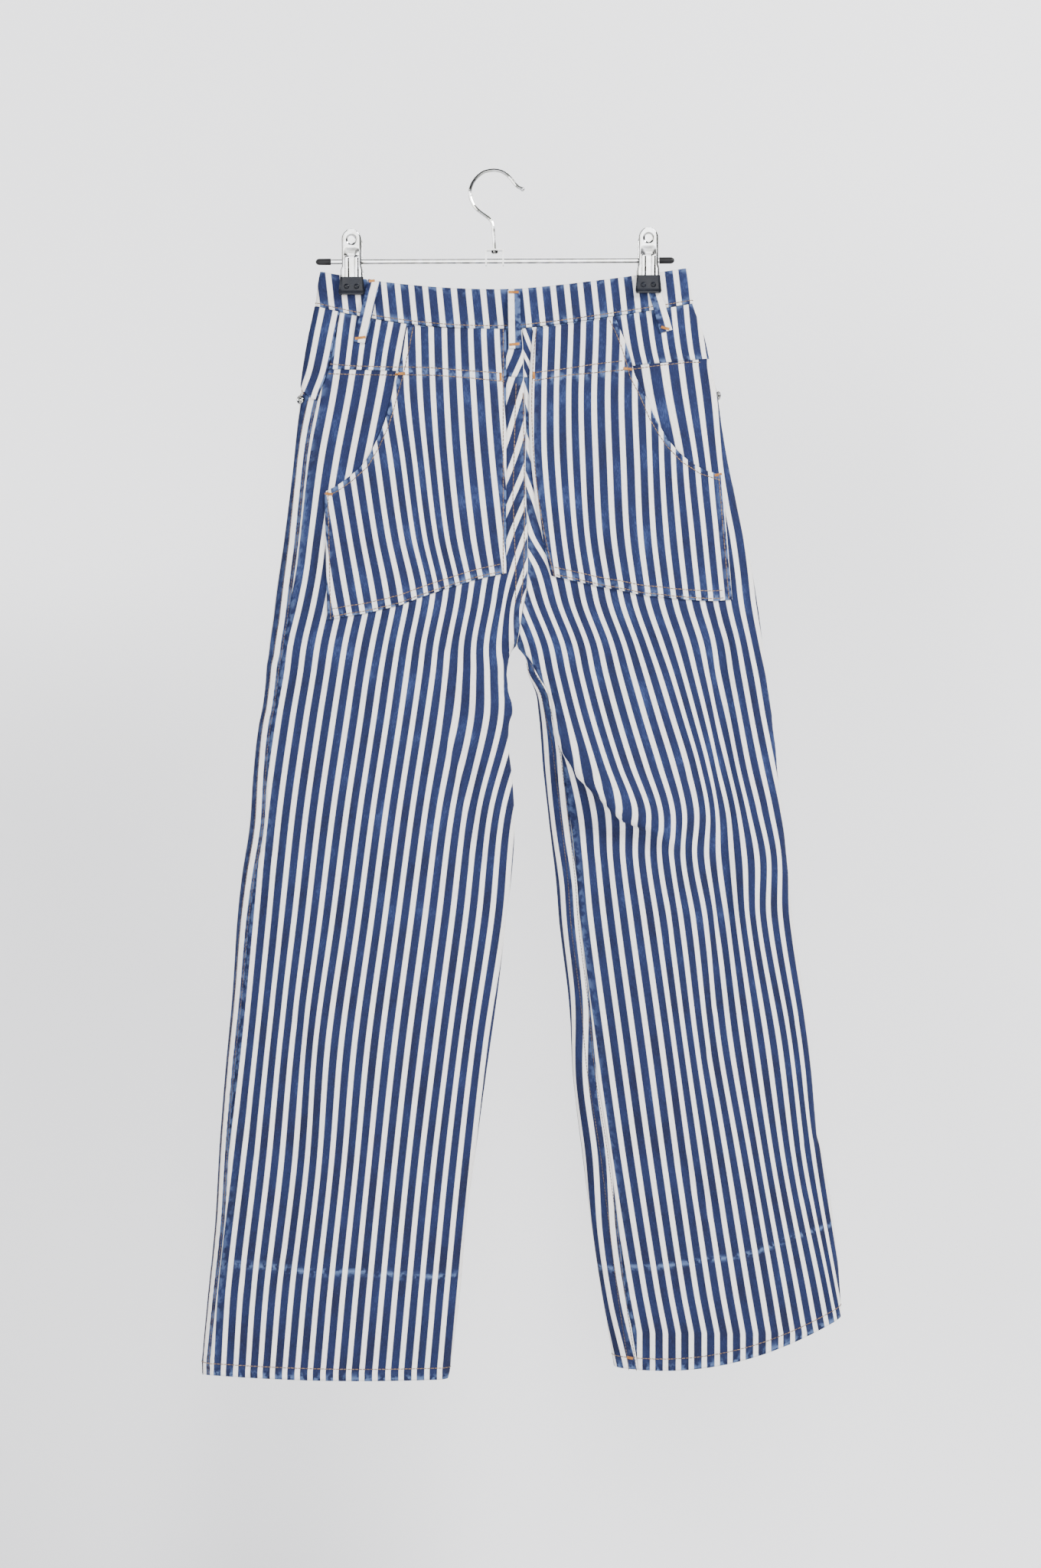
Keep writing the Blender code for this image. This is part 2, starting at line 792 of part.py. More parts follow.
def hanger():
    tilt = bpy.data.objects.new("hanger_bar_axis", None)
    bpy.data.collections["jeans_on_clip_hanger"].objects.link(tilt)
    tilt.location = (0, 0, BAR_Z * MM)
    tilt.rotation_euler = (0, BAR_TILT, 0)
    left_end, right_end, cap_long = -150.6, 152.8, 14.0
    bpy.ops.mesh.primitive_cylinder_add(
        vertices=16,
        radius=BAR_R * MM,
        depth=(right_end - left_end - 2 * GAP) * MM,
        location=((left_end + right_end) / 2 * MM, 0, 0),
        rotation=(0, math.radians(90), 0),
    )
    link(bpy.context.object, "hanger_bar", "bright_zinc", tilt)
    for name, end, way in (("left", left_end, -1), ("right", right_end, 1)):
        cap = turned(
            f"hanger_cap_{name}",
            cap_profile(3.0, cap_long, 3.5),
            16,
            (0, way * math.radians(90), 0),
            "black_rubber",
            tilt,
        )
        cap.location = (end * MM, 0, 0)
    clip("left", HALF_LEFT, -131.0, tilt, False)
    clip("right", HALF_RIGHT, 142.2, tilt, True)

    saddle = rounded_box(
        "hanger_saddle", (17.0, 9.0, 14.8), (0.7, 0, 3.3), 0, "bright_zinc", tilt
    )
    inside = rounded_box(
        "saddle_inside", (14.6, 12.0, 14.8), (0.7, 0, 2.1), 0, "bright_zinc", tilt
    )
    bpy.ops.mesh.primitive_cylinder_add(
        vertices=16,
        radius=(BAR_R + GAP) * MM,
        depth=0.03,
        rotation=(0, math.radians(90), 0),
    )
    bore = link(bpy.context.object, "saddle_bore", "bright_zinc", tilt)
    for tool in (inside, bore):
        cutter(tool)
        cut(saddle, tool)
    rivet_head = turned(
        "swivel_rivet",
        [(0.0, 9.2), (3.2, 9.2), (3.2, 7.6), (2.2, 6.8), (0.0, 6.8)],
        16,
        (0, 0, 0),
        "bright_zinc",
        tilt,
    )
    rivet_head.location = (0.7 * MM, 0, 0)

    wire = bpy.data.curves.new("hanger_hook", "CURVE")
    wire.dimensions = "3D"
    wire.bevel_depth = WIRE_R * MM
    wire.bevel_resolution = 2
    wire.use_fill_caps = True
    spline = wire.splines.new("POLY")
    path = smooth_path(HOOK, 2)
    spline.points.add(len(path) - 1)
    for spot, (x, z) in zip(spline.points, path):
        spot.co = (x * MM, 0, z * MM, 1)
    obj = bpy.data.objects.new("hanger_hook", wire)
    bpy.context.scene.collection.objects.link(obj)
    link(obj, "hanger_hook", "bright_zinc")


def smooth_path(table, parts):
    """Points on a smooth curve through a table of x and z."""
    keyed_x = [(i, row[0]) for i, row in enumerate(table)]
    keyed_z = [(i, row[1]) for i, row in enumerate(table)]
    count = (len(table) - 1) * parts
    return [(along(keyed_x, k / parts), along(keyed_z, k / parts)) for k in range(count + 1)]


def fastenings():
    left_facing = Vector((-0.74, -0.67, 0.0)).normalized()
    level = Level(HALF_LEFT, RIVET)
    centre = Vector((level.outer_x + level.fold_r, 0, level.outer_z))
    rivet("rivet_left_side", centre + left_facing * level.fold_r, left_facing)
    level = Level(HALF_RIGHT, RIVET)
    right_facing = Vector((0.92, 0.38, 0.0)).normalized()
    centre = Vector((level.outer_x - level.fold_r, 0, level.outer_z))
    rivet("rivet_right_side", centre + right_facing * level.fold_r, right_facing)
    for name, half, x, z in (
        ("rivet_left_waist", HALF_LEFT, -105.5, -146.0),
        ("rivet_right_waist", HALF_RIGHT, 95.0, -147.0),
    ):
        place = Vector((x, skin(half, x, z, True) + 0.2, z))
        rivet(name, place, Vector((0, 1, 0)))
    button_z = (Level(HALF_LEFT, BAND_TOP).inner_z + Level(HALF_LEFT, 0).inner_z) / 2
    button_y = skin(HALF_LEFT, 18.0, button_z, True, BAND_OUT)
    button = turned(
        "waist_button",
        [(0, 3.4), (7.6, 3.4), (8.5, 2.6), (8.5, 1.6), (4.0, 0.8), (4.0, 0), (0, 0)],
        20,
        (math.radians(-90), 0, 0),
        "dull_nickel",
    )
    button.location = (18.0 * MM, (button_y + GAP + 0.2) * MM, button_z * MM)


HALF_LEFT = {
    "side": -1,
    "edge": LEFT_SIDE,
    "leg": LEFT_INSIDE,
    "sag": LEFT_SAG,
    "folds": LEFT_FOLDS,
    "outseam": LEFT_OUTSEAM,
    "inseam": LEFT_INSEAM,
}
HALF_RIGHT = {
    "side": 1,
    "edge": RIGHT_SIDE,
    "leg": RIGHT_INSIDE,
    "sag": RIGHT_SAG,
    "folds": RIGHT_FOLDS,
    "outseam": RIGHT_OUTSEAM,
    "inseam": RIGHT_INSEAM,
}


def jeans():
    waistband()
    for name, half, pocket in (
        ("left", HALF_LEFT, LEFT_POCKET),
        ("right", HALF_RIGHT, RIGHT_POCKET),
    ):
        body_panel(f"back_yoke_{name}", half, 0, YOKE, 10, "back")
        body_panel(f"back_panel_{name}", half, YOKE, HEM_EDGE, 11, "back")
        body_panel(f"pocket_facing_{name}", half, 0, RIVET, 5, "facing")
        body_panel(f"front_panel_{name}", half, 0, HEM_EDGE, 8, "front")
        patch_pocket(f"patch_pocket_{name}", half, pocket)
    for row in LOOPS:
        belt_loop(*row)
    fastenings()


clear_scene()
for collection_name in ("jeans_on_clip_hanger", "cutters"):
    bpy.context.scene.collection.children.link(
        bpy.data.collections.new(collection_name)
    )
make_materials()
jeans()
hanger()
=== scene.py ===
import math

import bpy
import numpy as np
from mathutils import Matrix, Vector
from mathutils.bvhtree import BVHTree


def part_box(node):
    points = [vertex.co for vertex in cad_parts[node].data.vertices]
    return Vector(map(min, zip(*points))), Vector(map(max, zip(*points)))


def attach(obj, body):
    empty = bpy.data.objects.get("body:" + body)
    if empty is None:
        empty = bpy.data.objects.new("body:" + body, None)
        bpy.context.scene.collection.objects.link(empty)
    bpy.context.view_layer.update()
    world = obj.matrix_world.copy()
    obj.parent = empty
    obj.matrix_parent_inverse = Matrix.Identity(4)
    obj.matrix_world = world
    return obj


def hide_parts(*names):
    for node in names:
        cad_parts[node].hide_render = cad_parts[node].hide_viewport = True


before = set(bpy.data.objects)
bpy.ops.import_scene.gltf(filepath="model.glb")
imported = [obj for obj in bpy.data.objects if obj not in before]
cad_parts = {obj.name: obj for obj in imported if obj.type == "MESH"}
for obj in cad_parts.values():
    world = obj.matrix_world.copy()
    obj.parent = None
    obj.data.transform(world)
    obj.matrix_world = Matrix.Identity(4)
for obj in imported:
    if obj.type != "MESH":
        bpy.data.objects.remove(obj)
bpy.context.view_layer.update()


# --- Back leg panels ---
# Two long panels of washed denim with woven indigo stripes, from the yoke to the hem.
# They are cut straight with the grain down the leg, and felled to the fronts at both seams.
MM = 0.001
GAP = 0.3
CLOTH = 1.3
HEM = 2.6
YOKE = 50.0
CROTCH = 304.0
HEM_STITCH = 954.0
HEM_EDGE = 967.0
CROTCH_ROUND = 30.0
SEAM_HALF = 0.18
FRONT_SWELL = 0.85
STRIPE_PITCH = 12.3
STRIPE_BLUE = 7.45

LEFT_SIDE = (
    # down, x, z
    (-37, -160.0, -92.5),
    (0, -164.5, -124.5),
    (24, -170.5, -153.0),
    (50, -175.5, -182.5),
    (78, -179.0, -211.0),
    (105, -182.0, -238.5),
    (146, -186.5, -281.0),
    (202, -193.5, -337.0),
    (250, -201.0, -386.5),
    (276, -204.5, -414.5),
    (292, -207.0, -432.5),
    (304, -208.5, -447.0),
    (314, -210.0, -455.5),
    (330, -211.0, -471.0),
    (345, -212.5, -485.0),
    (358, -214.0, -495.5),
    (373, -217.0, -509.5),
    (395, -220.0, -531.0),
    (425, -223.0, -562.5),
    (465, -226.0, -604.5),
    (508, -232.5, -647.0),
    (552, -237.0, -689.0),
    (620, -241.5, -759.5),
    (690, -248.0, -830.0),
    (760, -253.5, -900.5),
    (830, -257.5, -971.0),
    (900, -264.5, -1041.0),
    (954, -269.5, -1096.5),
    (967, -269.5, -1109.0),
)
RIGHT_SIDE = (
    # down, x, z
    (-37, 178.0, -89.5),
    (0, 183.5, -122.0),
    (24, 193.5, -149.0),
    (50, 199.0, -173.0),
    (78, 206.5, -206.5),
    (105, 211.0, -238.5),
    (146, 219.0, -282.5),
    (202, 233.5, -340.5),
    (250, 242.0, -390.0),
    (276, 247.0, -425.0),
    (292, 249.0, -446.5),
    (304, 252.0, -464.0),
    (314, 253.0, -473.0),
    (330, 254.5, -485.0),
    (345, 256.5, -499.0),
    (358, 257.5, -513.0),
    (373, 260.0, -531.0),
    (395, 262.0, -555.5),
    (425, 265.5, -583.5),
    (465, 269.0, -619.0),
    (508, 272.5, -654.0),
    (552, 276.0, -689.0),
    (620, 285.0, -752.5),
    (690, 292.0, -816.0),
    (760, 298.5, -879.5),
    (830, 310.0, -942.5),
    (900, 317.0, -999.0),
    (954, 320.5, -1046.5),
    (967, 320.5, -1056.5),
)
CENTRE = (
    # down, x, z
    (-37, 23.0, -109.0),
    (0, 25.5, -145.5),
    (24, 27.0, -167.0),
    (50, 27.5, -191.0),
    (78, 28.5, -216.0),
    (105, 29.5, -242.0),
    (146, 29.0, -282.5),
    (202, 31.0, -337.0),
    (250, 30.5, -383.0),
    (276, 25.5, -411.0),
    (292, 23.0, -427.5),
    (304, 20.5, -438.0),
)
LEFT_INSIDE = (
    # down, x, z
    (304, 20.5, -438.0),
    (314, 14.5, -447.0),
    (330, 12.0, -464.0),
    (345, 15.5, -481.5),
    (358, 18.5, -495.5),
    (373, 14.5, -509.5),
    (395, 14.0, -531.0),
    (425, 17.5, -562.5),
    (465, 19.5, -604.5),
    (508, 17.0, -647.0),
    (552, 12.0, -689.0),
    (620, 3.5, -759.5),
    (690, -6.5, -830.0),
    (760, -16.0, -900.5),
    (830, -25.5, -971.0),
    (900, -31.5, -1041.0),
    (954, -40.0, -1104.5),
    (967, -42.0, -1113.5),
)
RIGHT_INSIDE = (
    # down, x, z
    (304, 20.5, -438.0),
    (314, 28.5, -448.5),
    (330, 31.5, -464.0),
    (345, 38.5, -481.5),
    (358, 41.0, -499.0),
    (373, 43.0, -520.5),
    (395, 45.0, -548.5),
    (425, 48.0, -576.5),
    (465, 52.0, -612.0),
    (508, 57.0, -654.0),
    (552, 60.5, -696.5),
    (620, 69.0, -766.5),
    (690, 73.0, -837.0),
    (760, 81.5, -907.5),
    (830, 90.5, -978.0),
    (900, 100.0, -1041.0),
    (954, 109.0, -1091.5),
    (967, 110.5, -1102.0),
)
LEFT_SAG = ((-37, 5.5), (0, 7.5), (24, 4.0), (50, -1.0), (105, 0.0), (900, 0.0), (967, 1.0))
RIGHT_SAG = ((-37, 1.5), (0, 1.5), (50, 0), (465, 0), (620, 4), (760, 9), (900, 15), (967, 17.5))
DEPTH = (
    # down, round of the side fold, swell of the cloth between the folds
    (-37, 3.6, 3.0),
    (0, 3.6, 3.5),
    (50, 4.5, 5.0),
    (105, 5.5, 7.0),
    (202, 6.5, 9.0),
    (304, 7.0, 10.0),
    (425, 7.5, 11.0),
    (620, 8.0, 11.0),
    (830, 8.5, 12.0),
    (967, 9.0, 13.0),
)
LEFT_OUTSEAM = (
    # down, distance in from the silhouette on the back
    (0, 23.5),
    (50, 23.0),
    (78, 17.0),
    (132, 13.0),
    (270, 16.0),
    (345, 13.5),
    (480, 15.0),
    (620, 11.5),
    (830, 10.0),
    (967, 9.0),
)
RIGHT_OUTSEAM = ((0, -4.5), (967, -4.0))
LEFT_INSEAM = ((304, 0.0), (345, -14.0), (967, -16.0))
RIGHT_INSEAM = ((304, 0), (345, 14), (395, 20), (620, 20), (760, 26), (967, 23))
LEFT_FOLDS = (
    # x1, z1, x2, z2, width on the left, width on the right, height
    (-38, -445, -20, -632, 12, 14, -5.0),
    (-184, -790, -196, -990, 14, 14, -3.0),
)
RIGHT_FOLDS = (
    # x1, z1, x2, z2, width on the left, width on the right, height
    (48, -498, 96, -573, 8, 40, 9.0),
    (96, -573, 160, -612, 10, 44, 9.0),
    (209, -452, 210, -690, 13, 16, -6.0),
    (180, -562, 167, -690, 10, 14, -3.0),
    (208, -690, 204, -815, 12, 16, -4.0),
    (172, -915, 200, -960, 12, 12, -3.0),
)
LEFT = {
    "side": -1,
    "edge": LEFT_SIDE,
    "leg": LEFT_INSIDE,
    "sag": LEFT_SAG,
    "folds": LEFT_FOLDS,
    "outseam": LEFT_OUTSEAM,
    "inseam": LEFT_INSEAM,
}
RIGHT = {
    "side": 1,
    "edge": RIGHT_SIDE,
    "leg": RIGHT_INSIDE,
    "sag": RIGHT_SAG,
    "folds": RIGHT_FOLDS,
    "outseam": RIGHT_OUTSEAM,
    "inseam": RIGHT_INSEAM,
}

# Where some of the indigo stripes run, counted from the outer side: x of each at a height z.
LEFT_STRIPES = (
    # z, stripe 0, 5, 10, 14, 17
    (-180, -122, -50, 28, 72, 108),
    (-210, -127, -56, 18, 65, 101),
    (-267, -138, -68, -1, 51, 88),
    (-337, -150, -89, -30, 22, 61),
    (-373, -155, -95, -36, 10, 44),
    (-401, -160, -98, -40, 5, 30),
    (-436, -168, -105, -47, -1, 34),
    (-464, -172, -110, -50, 0, 38),
    (-506, -179, -116, -56, 0, 38),
    (-591, -191, -129, -69, -20, 14),
    (-689, -201, -142, -82, -32, 4),
    (-802, -213, -158, -97, -47, -13),
    (-915, -225, -166, -109, -61, -26),
    (-1027, -238, -179, -120, -72, -37),
    (-1105, -243, -186, -127, -79, -44),
)
RIGHT_STRIPES = (
    # z, stripe 0, 5, 10, 15, 18
    (-180, -70, -4, 76, 166, 206),
    (-210, -56, 7, 84, 170, 210),
    (-267, -35, 29, 104, 180, 214),
    (-306, -19, 44, 112, 184, 220),
    (-337, -9, 54, 121, 189, 226),
    (-366, 8, 70, 129, 194, 230),
    (-401, 21, 78, 136, 199, 234),
    (-436, 35, 91, 148, 209, 241),
    (-464, 41, 97, 158, 213, 247),
    (-506, 51, 108, 171, 221, 254),
    (-549, 64, 121, 184, 229, 263),
    (-591, 73, 136, 192, 239, 272),
    (-633, 78, 136, 190, 248, 278),
    (-689, 83, 144, 200, 248, 280),
    (-802, 98, 160, 212, 268, 296),
    (-915, 114, 175, 232, 282, 309),
    (-1027, 132, 191, 251, 305, 326),
    (-1069, 140, 199, 258, 313, 336),
)
# Soft creases: a path of two or three points, widths on its two sides, and height.
LEFT_CREASES = (
    (((-63, -200), (-54, -250), (-52, -300), (-53, -362)), 7, 9, -1.6),
    (((-44, -445), (-43, -515), (-28, -562), (-18, -632)), 5, 9, -2.6),
    (((13, -479), (14, -490), (6, -503)), 4, 5, -1.8),
    (((6, -452), (-8, -470), (-16, -500)), 5, 8, 1.5),
    (((-184, -788), (-178, -877), (-196, -990)), 9, 12, -2.2),
    (((-205, -640), (-190, -720), (-196, -760)), 8, 10, 1.2),
    (((-120, -470), (-98, -560), (-96, -640)), 14, 16, 1.3),
    (((-70, -660), (-80, -760), (-84, -850)), 12, 15, -1.2),
    (((-150, -900), (-140, -980), (-146, -1050)), 10, 13, 1.3),
    (((-60, -900), (-66, -980), (-62, -1040)), 9, 12, -1.0),
    (((-232, -860), (-222, -905)), 6, 7, -1.4),
    (((-236, -1010), (-222, -1035)), 6, 6, -1.0),
)
RIGHT_CREASES = (
    (((63, -275), (79, -310), (89, -356), (101, -391)), 7, 9, -1.8),
    (((150, -612), (168, -660), (160, -700)), 8, 14, 2.2),
    (((207, -420), (210, -520), (211, -620), (210, -700), (206, -770)), 6, 9, -2.8),
    (((180, -562), (177, -632), (167, -690)), 6, 9, -1.8),
    (((172, -915), (184, -936), (198, -960)), 7, 9, -2.4),
    (((197, -816), (201, -845)), 6, 7, -1.6),
    (((276, -788), (281, -833), (297, -889)), 5, 7, -1.8),
    (((284, -900), (286, -942)), 5, 6, -1.6),
    (((140, -175), (165, -225), (184, -270)), 8, 12, 1.8),
    (((236, -470), (246, -520), (247, -580)), 7, 9, 1.2),
    (((120, -700), (126, -800), (140, -880)), 14, 18, 1.2),
    (((230, -940), (244, -1000), (250, -1040)), 10, 12, 1.4),
    (((96, -640), (104, -720), (112, -800)), 6, 9, -1.2),
)

# The big slumped fold below the right seat: the cloth above it laps over the cloth below.
THIGH_FOLD = (
    (44, -492),
    (51, -506),
    (62, -522),
    (68, -534),
    (75, -544),
    (82, -557),
    (92, -567),
    (102, -577),
    (111, -586),
    (119, -594),
    (130, -599),
    (144, -606),
    (155, -609),
)


def along(table, at, column=1):
    """Reads a column of a table on a smooth curve through its rows."""
    rows = np.array(table, float)
    key, value = rows[:, 0], rows[:, column]
    slope = np.gradient(value)
    slope[1:-1] = (value[2:] - value[:-2]) / (key[2:] - key[:-2])
    slope[0] = (value[1] - value[0]) / (key[1] - key[0])
    slope[-1] = (value[-1] - value[-2]) / (key[-1] - key[-2])
    at = np.clip(at, key[0], key[-1])
    i = np.clip(np.searchsorted(key, at, "right") - 1, 0, len(key) - 2)
    step = key[i + 1] - key[i]
    t = (at - key[i]) / step
    rise = value[i] * (1 + 2 * t) * (1 - t) ** 2 + value[i + 1] * t * t * (3 - 2 * t)
    return rise + step * t * (1 - t) * (slope[i] * (1 - t) - slope[i + 1] * t)


def eased(share):
    """A share from 0 to 1 that starts and stops softly."""
    share = np.clip(share, 0, 1)
    return share * share * (3 - 2 * share)


def run_along(path):
    """Distance from the start of a path to each of its points."""
    return np.concatenate([[0], np.cumsum(np.linalg.norm(np.diff(path, axis=0), axis=1))])


def from_line(x, z, x1, z1, x2, z2):
    """For places beside a straight line: the share along it, the distance to its nearest point,
    the distance to one side of it, and its own length."""
    run_x, run_z = x2 - x1, z2 - z1
    length = math.hypot(run_x, run_z)
    share = ((x - x1) * run_x + (z - z1) * run_z) / length**2
    held = np.clip(share, 0, 1)
    away = np.hypot(x - x1 - held * run_x, z - z1 - held * run_z)
    beside = ((z - z1) * run_x - (x - x1) * run_z) / length
    return share, away, beside, length


FOLD_END = 25.0


def folded(folds, x, z):
    """Height of the large folds at places on the back."""
    total = np.zeros_like(x)
    for x1, z1, x2, z2, left, right, tall in folds:
        share, _, beside, length = from_line(x, z, x1, z1, x2, z2)
        past = np.maximum(0, np.maximum(-share, share - 1)) * length
        spread = np.where(beside > 0, right, left)
        total += tall * np.exp(-((beside / spread) ** 2) - (past / FOLD_END) ** 2)
    return total


def creased(creases, x, z):
    """Height of the soft creases at places on the cloth."""
    total = np.zeros_like(x)
    for path, left, right, tall in creases:
        best = np.full_like(x, 1e9)
        weight = np.zeros_like(x)
        for start, stop in zip(path, path[1:]):
            _, away, beside, _ = from_line(x, z, *start, *stop)
            spread = np.where(beside > 0, right, left)
            nearer = away < best
            best = np.where(nearer, away, best)
            weight = np.where(nearer, np.exp(-((away / spread) ** 2)), weight)
        total += tall * weight
    return total


LAP_STARTS = 0.30
LAP_STOPS = 0.22
LAP_DROP = 3.4


def overhung(points, path, tall, lap, reach):
    """Lifts the cloth above a path and laps it down over what lies below, as a slumped fold."""
    x, z = points[..., 0], points[..., 2]
    path = np.array(path, float)
    before = run_along(path)
    best = np.full_like(x, 1e9)
    beside, at, fall_x, fall_z = (np.zeros_like(x) for _ in range(4))
    for i in range(len(path) - 1):
        share, away, signed, length = from_line(x, z, *path[i], *path[i + 1])
        run_x, run_z = path[i + 1] - path[i]
        nearer = away < best
        best = np.where(nearer, away, best)
        beside = np.where(nearer, np.copysign(away, signed), beside)
        at = np.where(nearer, (before[i] + np.clip(share, 0, 1) * length) / before[-1], at)
        fall_x = np.where(nearer, run_z / length, fall_x)
        fall_z = np.where(nearer, -run_x / length, fall_z)
    end = eased(np.minimum(at / LAP_STARTS, (1 - at) / LAP_STOPS))
    spread = np.where(beside > 0, reach, LAP_DROP)
    above = np.exp(-((beside / spread) ** 2))
    over = lap * end * np.exp(-(((beside - 3.0) / 5.5) ** 2))
    moved = points + outward(points, False) * (tall * end * above)[..., None]
    moved[..., 0] += fall_x * over
    moved[..., 2] += fall_z * over
    return moved


def rings(half, downs, outset=0.0):
    """Points round a half of the jeans at each level, from the centre over the back, round
    the side and back along the front, with the distance along them."""
    at = np.asarray(downs, float)[:, None]
    side = half["side"]
    leg = at > CROTCH
    outer_x = along(half["edge"], at, 1) + side * outset
    outer_z = along(half["edge"], at, 2)
    inner_x = np.where(leg, along(half["leg"], at, 1), along(CENTRE, at, 1)) + side * SEAM_HALF
    inner_z = np.where(leg, along(half["leg"], at, 2), along(CENTRE, at, 2))
    fold_r = along(DEPTH, at, 1) + outset
    width = abs(outer_x - inner_x)
    opened = np.sqrt(1 - np.clip((at - CROTCH + CROTCH_ROUND) / CROTCH_ROUND, 0, 1) ** 2)
    first = fold_r / width
    turn = first * (1 - np.cos(np.radians(np.arange(0, 90, 6))))
    flat = first + (1 - 2 * first) * np.linspace(0, 1, 141)
    t = np.hstack([turn, flat, 1 - turn[:, ::-1]])

    def quarter(distance):
        return np.sqrt(1 - (1 - np.minimum(1, distance / fold_r)) ** 2)

    round_in = opened + (1 - opened) * quarter(t * width)
    swell = along(DEPTH, at, 2) * np.hypot(np.sin(np.pi * t), opened * 0.9 * (1 - t) ** 3)
    rim = fold_r * quarter((1 - t) * width) * round_in
    x = inner_x + (outer_x - inner_x) * t
    z = inner_z + (outer_z - inner_z) * t - along(half["sag"], at) * 4 * t * (1 - t)
    fade = np.minimum(1, (1 - t) * width / 20) * np.minimum(1, t * width / 20 + opened)
    back = -(rim + swell + fade * folded(half["folds"], x, z))
    front = rim + FRONT_SWELL * swell
    ring = np.stack(
        [
            np.hstack([x, x[:, -2::-1]]),
            np.hstack([back, front[:, -2::-1]]),
            np.hstack([z, z[:, -2::-1]]),
        ],
        axis=-1,
    )
    steps = np.linalg.norm(np.diff(ring, axis=1), axis=-1)
    distance = np.hstack([np.zeros((len(at), 1)), np.cumsum(steps, axis=1)])
    return ring, distance, distance[:, t.shape[1] - 1], fold_r[:, 0], opened[:, 0]


def turned_in(from_edge, fold_r):
    """Distance along the cloth for a distance in from the silhouette."""
    flat = abs(from_edge)
    rolled = fold_r * np.arccos(1 - np.minimum(1, flat / fold_r))
    return np.copysign(rolled + np.maximum(0, flat - fold_r), from_edge)


def laid(ring, distance, stops, closed):
    """Points at distances along each ring, past either end where the ring is closed."""
    out = np.empty(stops.shape + (3,))
    for i in range(len(ring)):
        total = distance[i, -1]
        s = stops[i] % total if closed[i] else np.clip(stops[i], 0, total - 1e-4)
        for k in range(3):
            out[i, :, k] = np.interp(s, distance[i], ring[i, :, k])
    return out


def outward(points, front):
    """Unit normals of a grid of points, on the outside of the jeans."""
    across = np.gradient(points, axis=1)
    down = np.gradient(points, axis=0)
    normal = np.cross(across, down)
    normal /= np.linalg.norm(normal, axis=-1, keepdims=True) + 1e-12
    middle = normal[:, normal.shape[1] // 2, 1].mean()
    return normal if (middle > 0) == front else -normal


def uneven(v, period, seed):
    """A wave whose crests are unevenly spaced and unevenly high."""
    drift = 0.35 * np.sin(v / (2.7 * period) + seed) + 0.25 * np.sin(v / (1.3 * period) + 2 * seed)
    tall = 0.65 + 0.35 * np.sin(v / (3.1 * period) + 3 * seed)
    return tall * np.sin(2 * np.pi * (v / period + drift))


def stripe_number(table, counted, x, z):
    """Which stripe a place on the back lies on, read between the stripes of a table."""
    columns = np.stack([along(table[::-1], z, k + 1) for k in range(len(counted))])
    number = np.zeros_like(x)
    for i in range(len(counted) - 1):
        share = (x - columns[i]) / (columns[i + 1] - columns[i])
        value = counted[i] + share * (counted[i + 1] - counted[i])
        low = share >= 0 if i else np.ones_like(x, bool)
        number = np.where(low, value, number)
    return number


def begun(name, primitive, **settings):
    """Adds a primitive to be shaped, with nothing else selected, and names it."""
    bpy.ops.object.select_all(action="DESELECT")
    primitive(**settings)
    piece = bpy.context.object
    piece.name = piece.data.name = name
    return piece


def cloth_sheet(name, points, across, down, fade, thick, front=False, doubled=None):
    """A sheet of cloth from a grid of points, with its place in the weave, its wear and its
    thickness, which may be less where it isn't doubled by a turned-up hem."""
    rows, columns = points.shape[:2]
    grid_add = bpy.ops.mesh.primitive_grid_add
    sheet = begun(name, grid_add, x_subdivisions=columns - 1, y_subdivisions=rows - 1, size=1)
    mesh = sheet.data
    mesh.vertices.foreach_set("co", (points.reshape(-1, 3) * MM).ravel())
    corner = np.empty(len(mesh.loops), np.int32)
    mesh.loops.foreach_get("vertex_index", corner)
    weave = np.stack([across.ravel(), down.ravel()], axis=-1) * MM
    uv = mesh.uv_layers[0]
    uv.name = "weave"
    uv.data.foreach_set("uv", weave[corner].ravel())
    worn = mesh.attributes.new("worn", "FLOAT", "POINT")
    worn.data.foreach_set("value", fade.ravel())
    normal = outward(points, front)
    mesh.update()
    middle = len(mesh.polygons) // 2 + columns // 2
    r, c = divmod(mesh.polygons[middle].vertices[0], columns)
    if mesh.polygons[middle].normal.dot(Vector(normal[r, c])) < 0:
        mesh.flip_normals()
    mesh.shade_smooth()
    solid = sheet.modifiers.new("thickness", "SOLIDIFY")
    solid.thickness = thick * MM
    solid.offset = -1
    if doubled is not None:
        group = sheet.vertex_groups.new(name="doubled")
        group.add([int(i) for i in np.flatnonzero(doubled.ravel())], 1.0, "REPLACE")
        solid.vertex_group = "doubled"
        solid.thickness_vertex_group = CLOTH / thick
    bpy.ops.object.modifier_apply(modifier="thickness")
    return sheet


RIVET = 78.0
POCKET_MOUTH = ((0, 78.0), (24, 60.0), (50, 38.0), (66, 21.0), (78, 5.0))


def leg_grid(half, top, foot, columns, piece, spacing=3.3):
    """The grid of a panel of the body between two of its seams: points, distances from its
    first seam, levels, and the panel's width at each level."""
    end = foot if foot == HEM_EDGE else foot - GAP / 2
    levels = np.linspace(top + GAP / 2, end, int((end - top) / spacing) + 2)
    ring, distance, side_at, fold_r, opened = rings(half, levels)
    inside = np.where(levels >= CROTCH, turned_in(along(half["inseam"], levels), fold_r), 0)
    outside = side_at - turned_in(along(half["outseam"], levels), fold_r)
    mouth = outside + np.where(levels < RIVET, along(POCKET_MOUTH, levels), 0)
    start, stop = {
        "back": (inside, outside),
        "facing": (outside, mouth),
        "front": (mouth, distance[:, -1] + inside),
    }[piece]
    share = np.linspace(0, 1, columns)[None, :]
    width = (stop - start - GAP)[:, None]
    stops = (start + GAP / 2)[:, None] + width * share
    points = laid(ring, distance, stops, opened < 1e-6)
    return points, width * share, np.repeat(levels[:, None], columns, 1), width


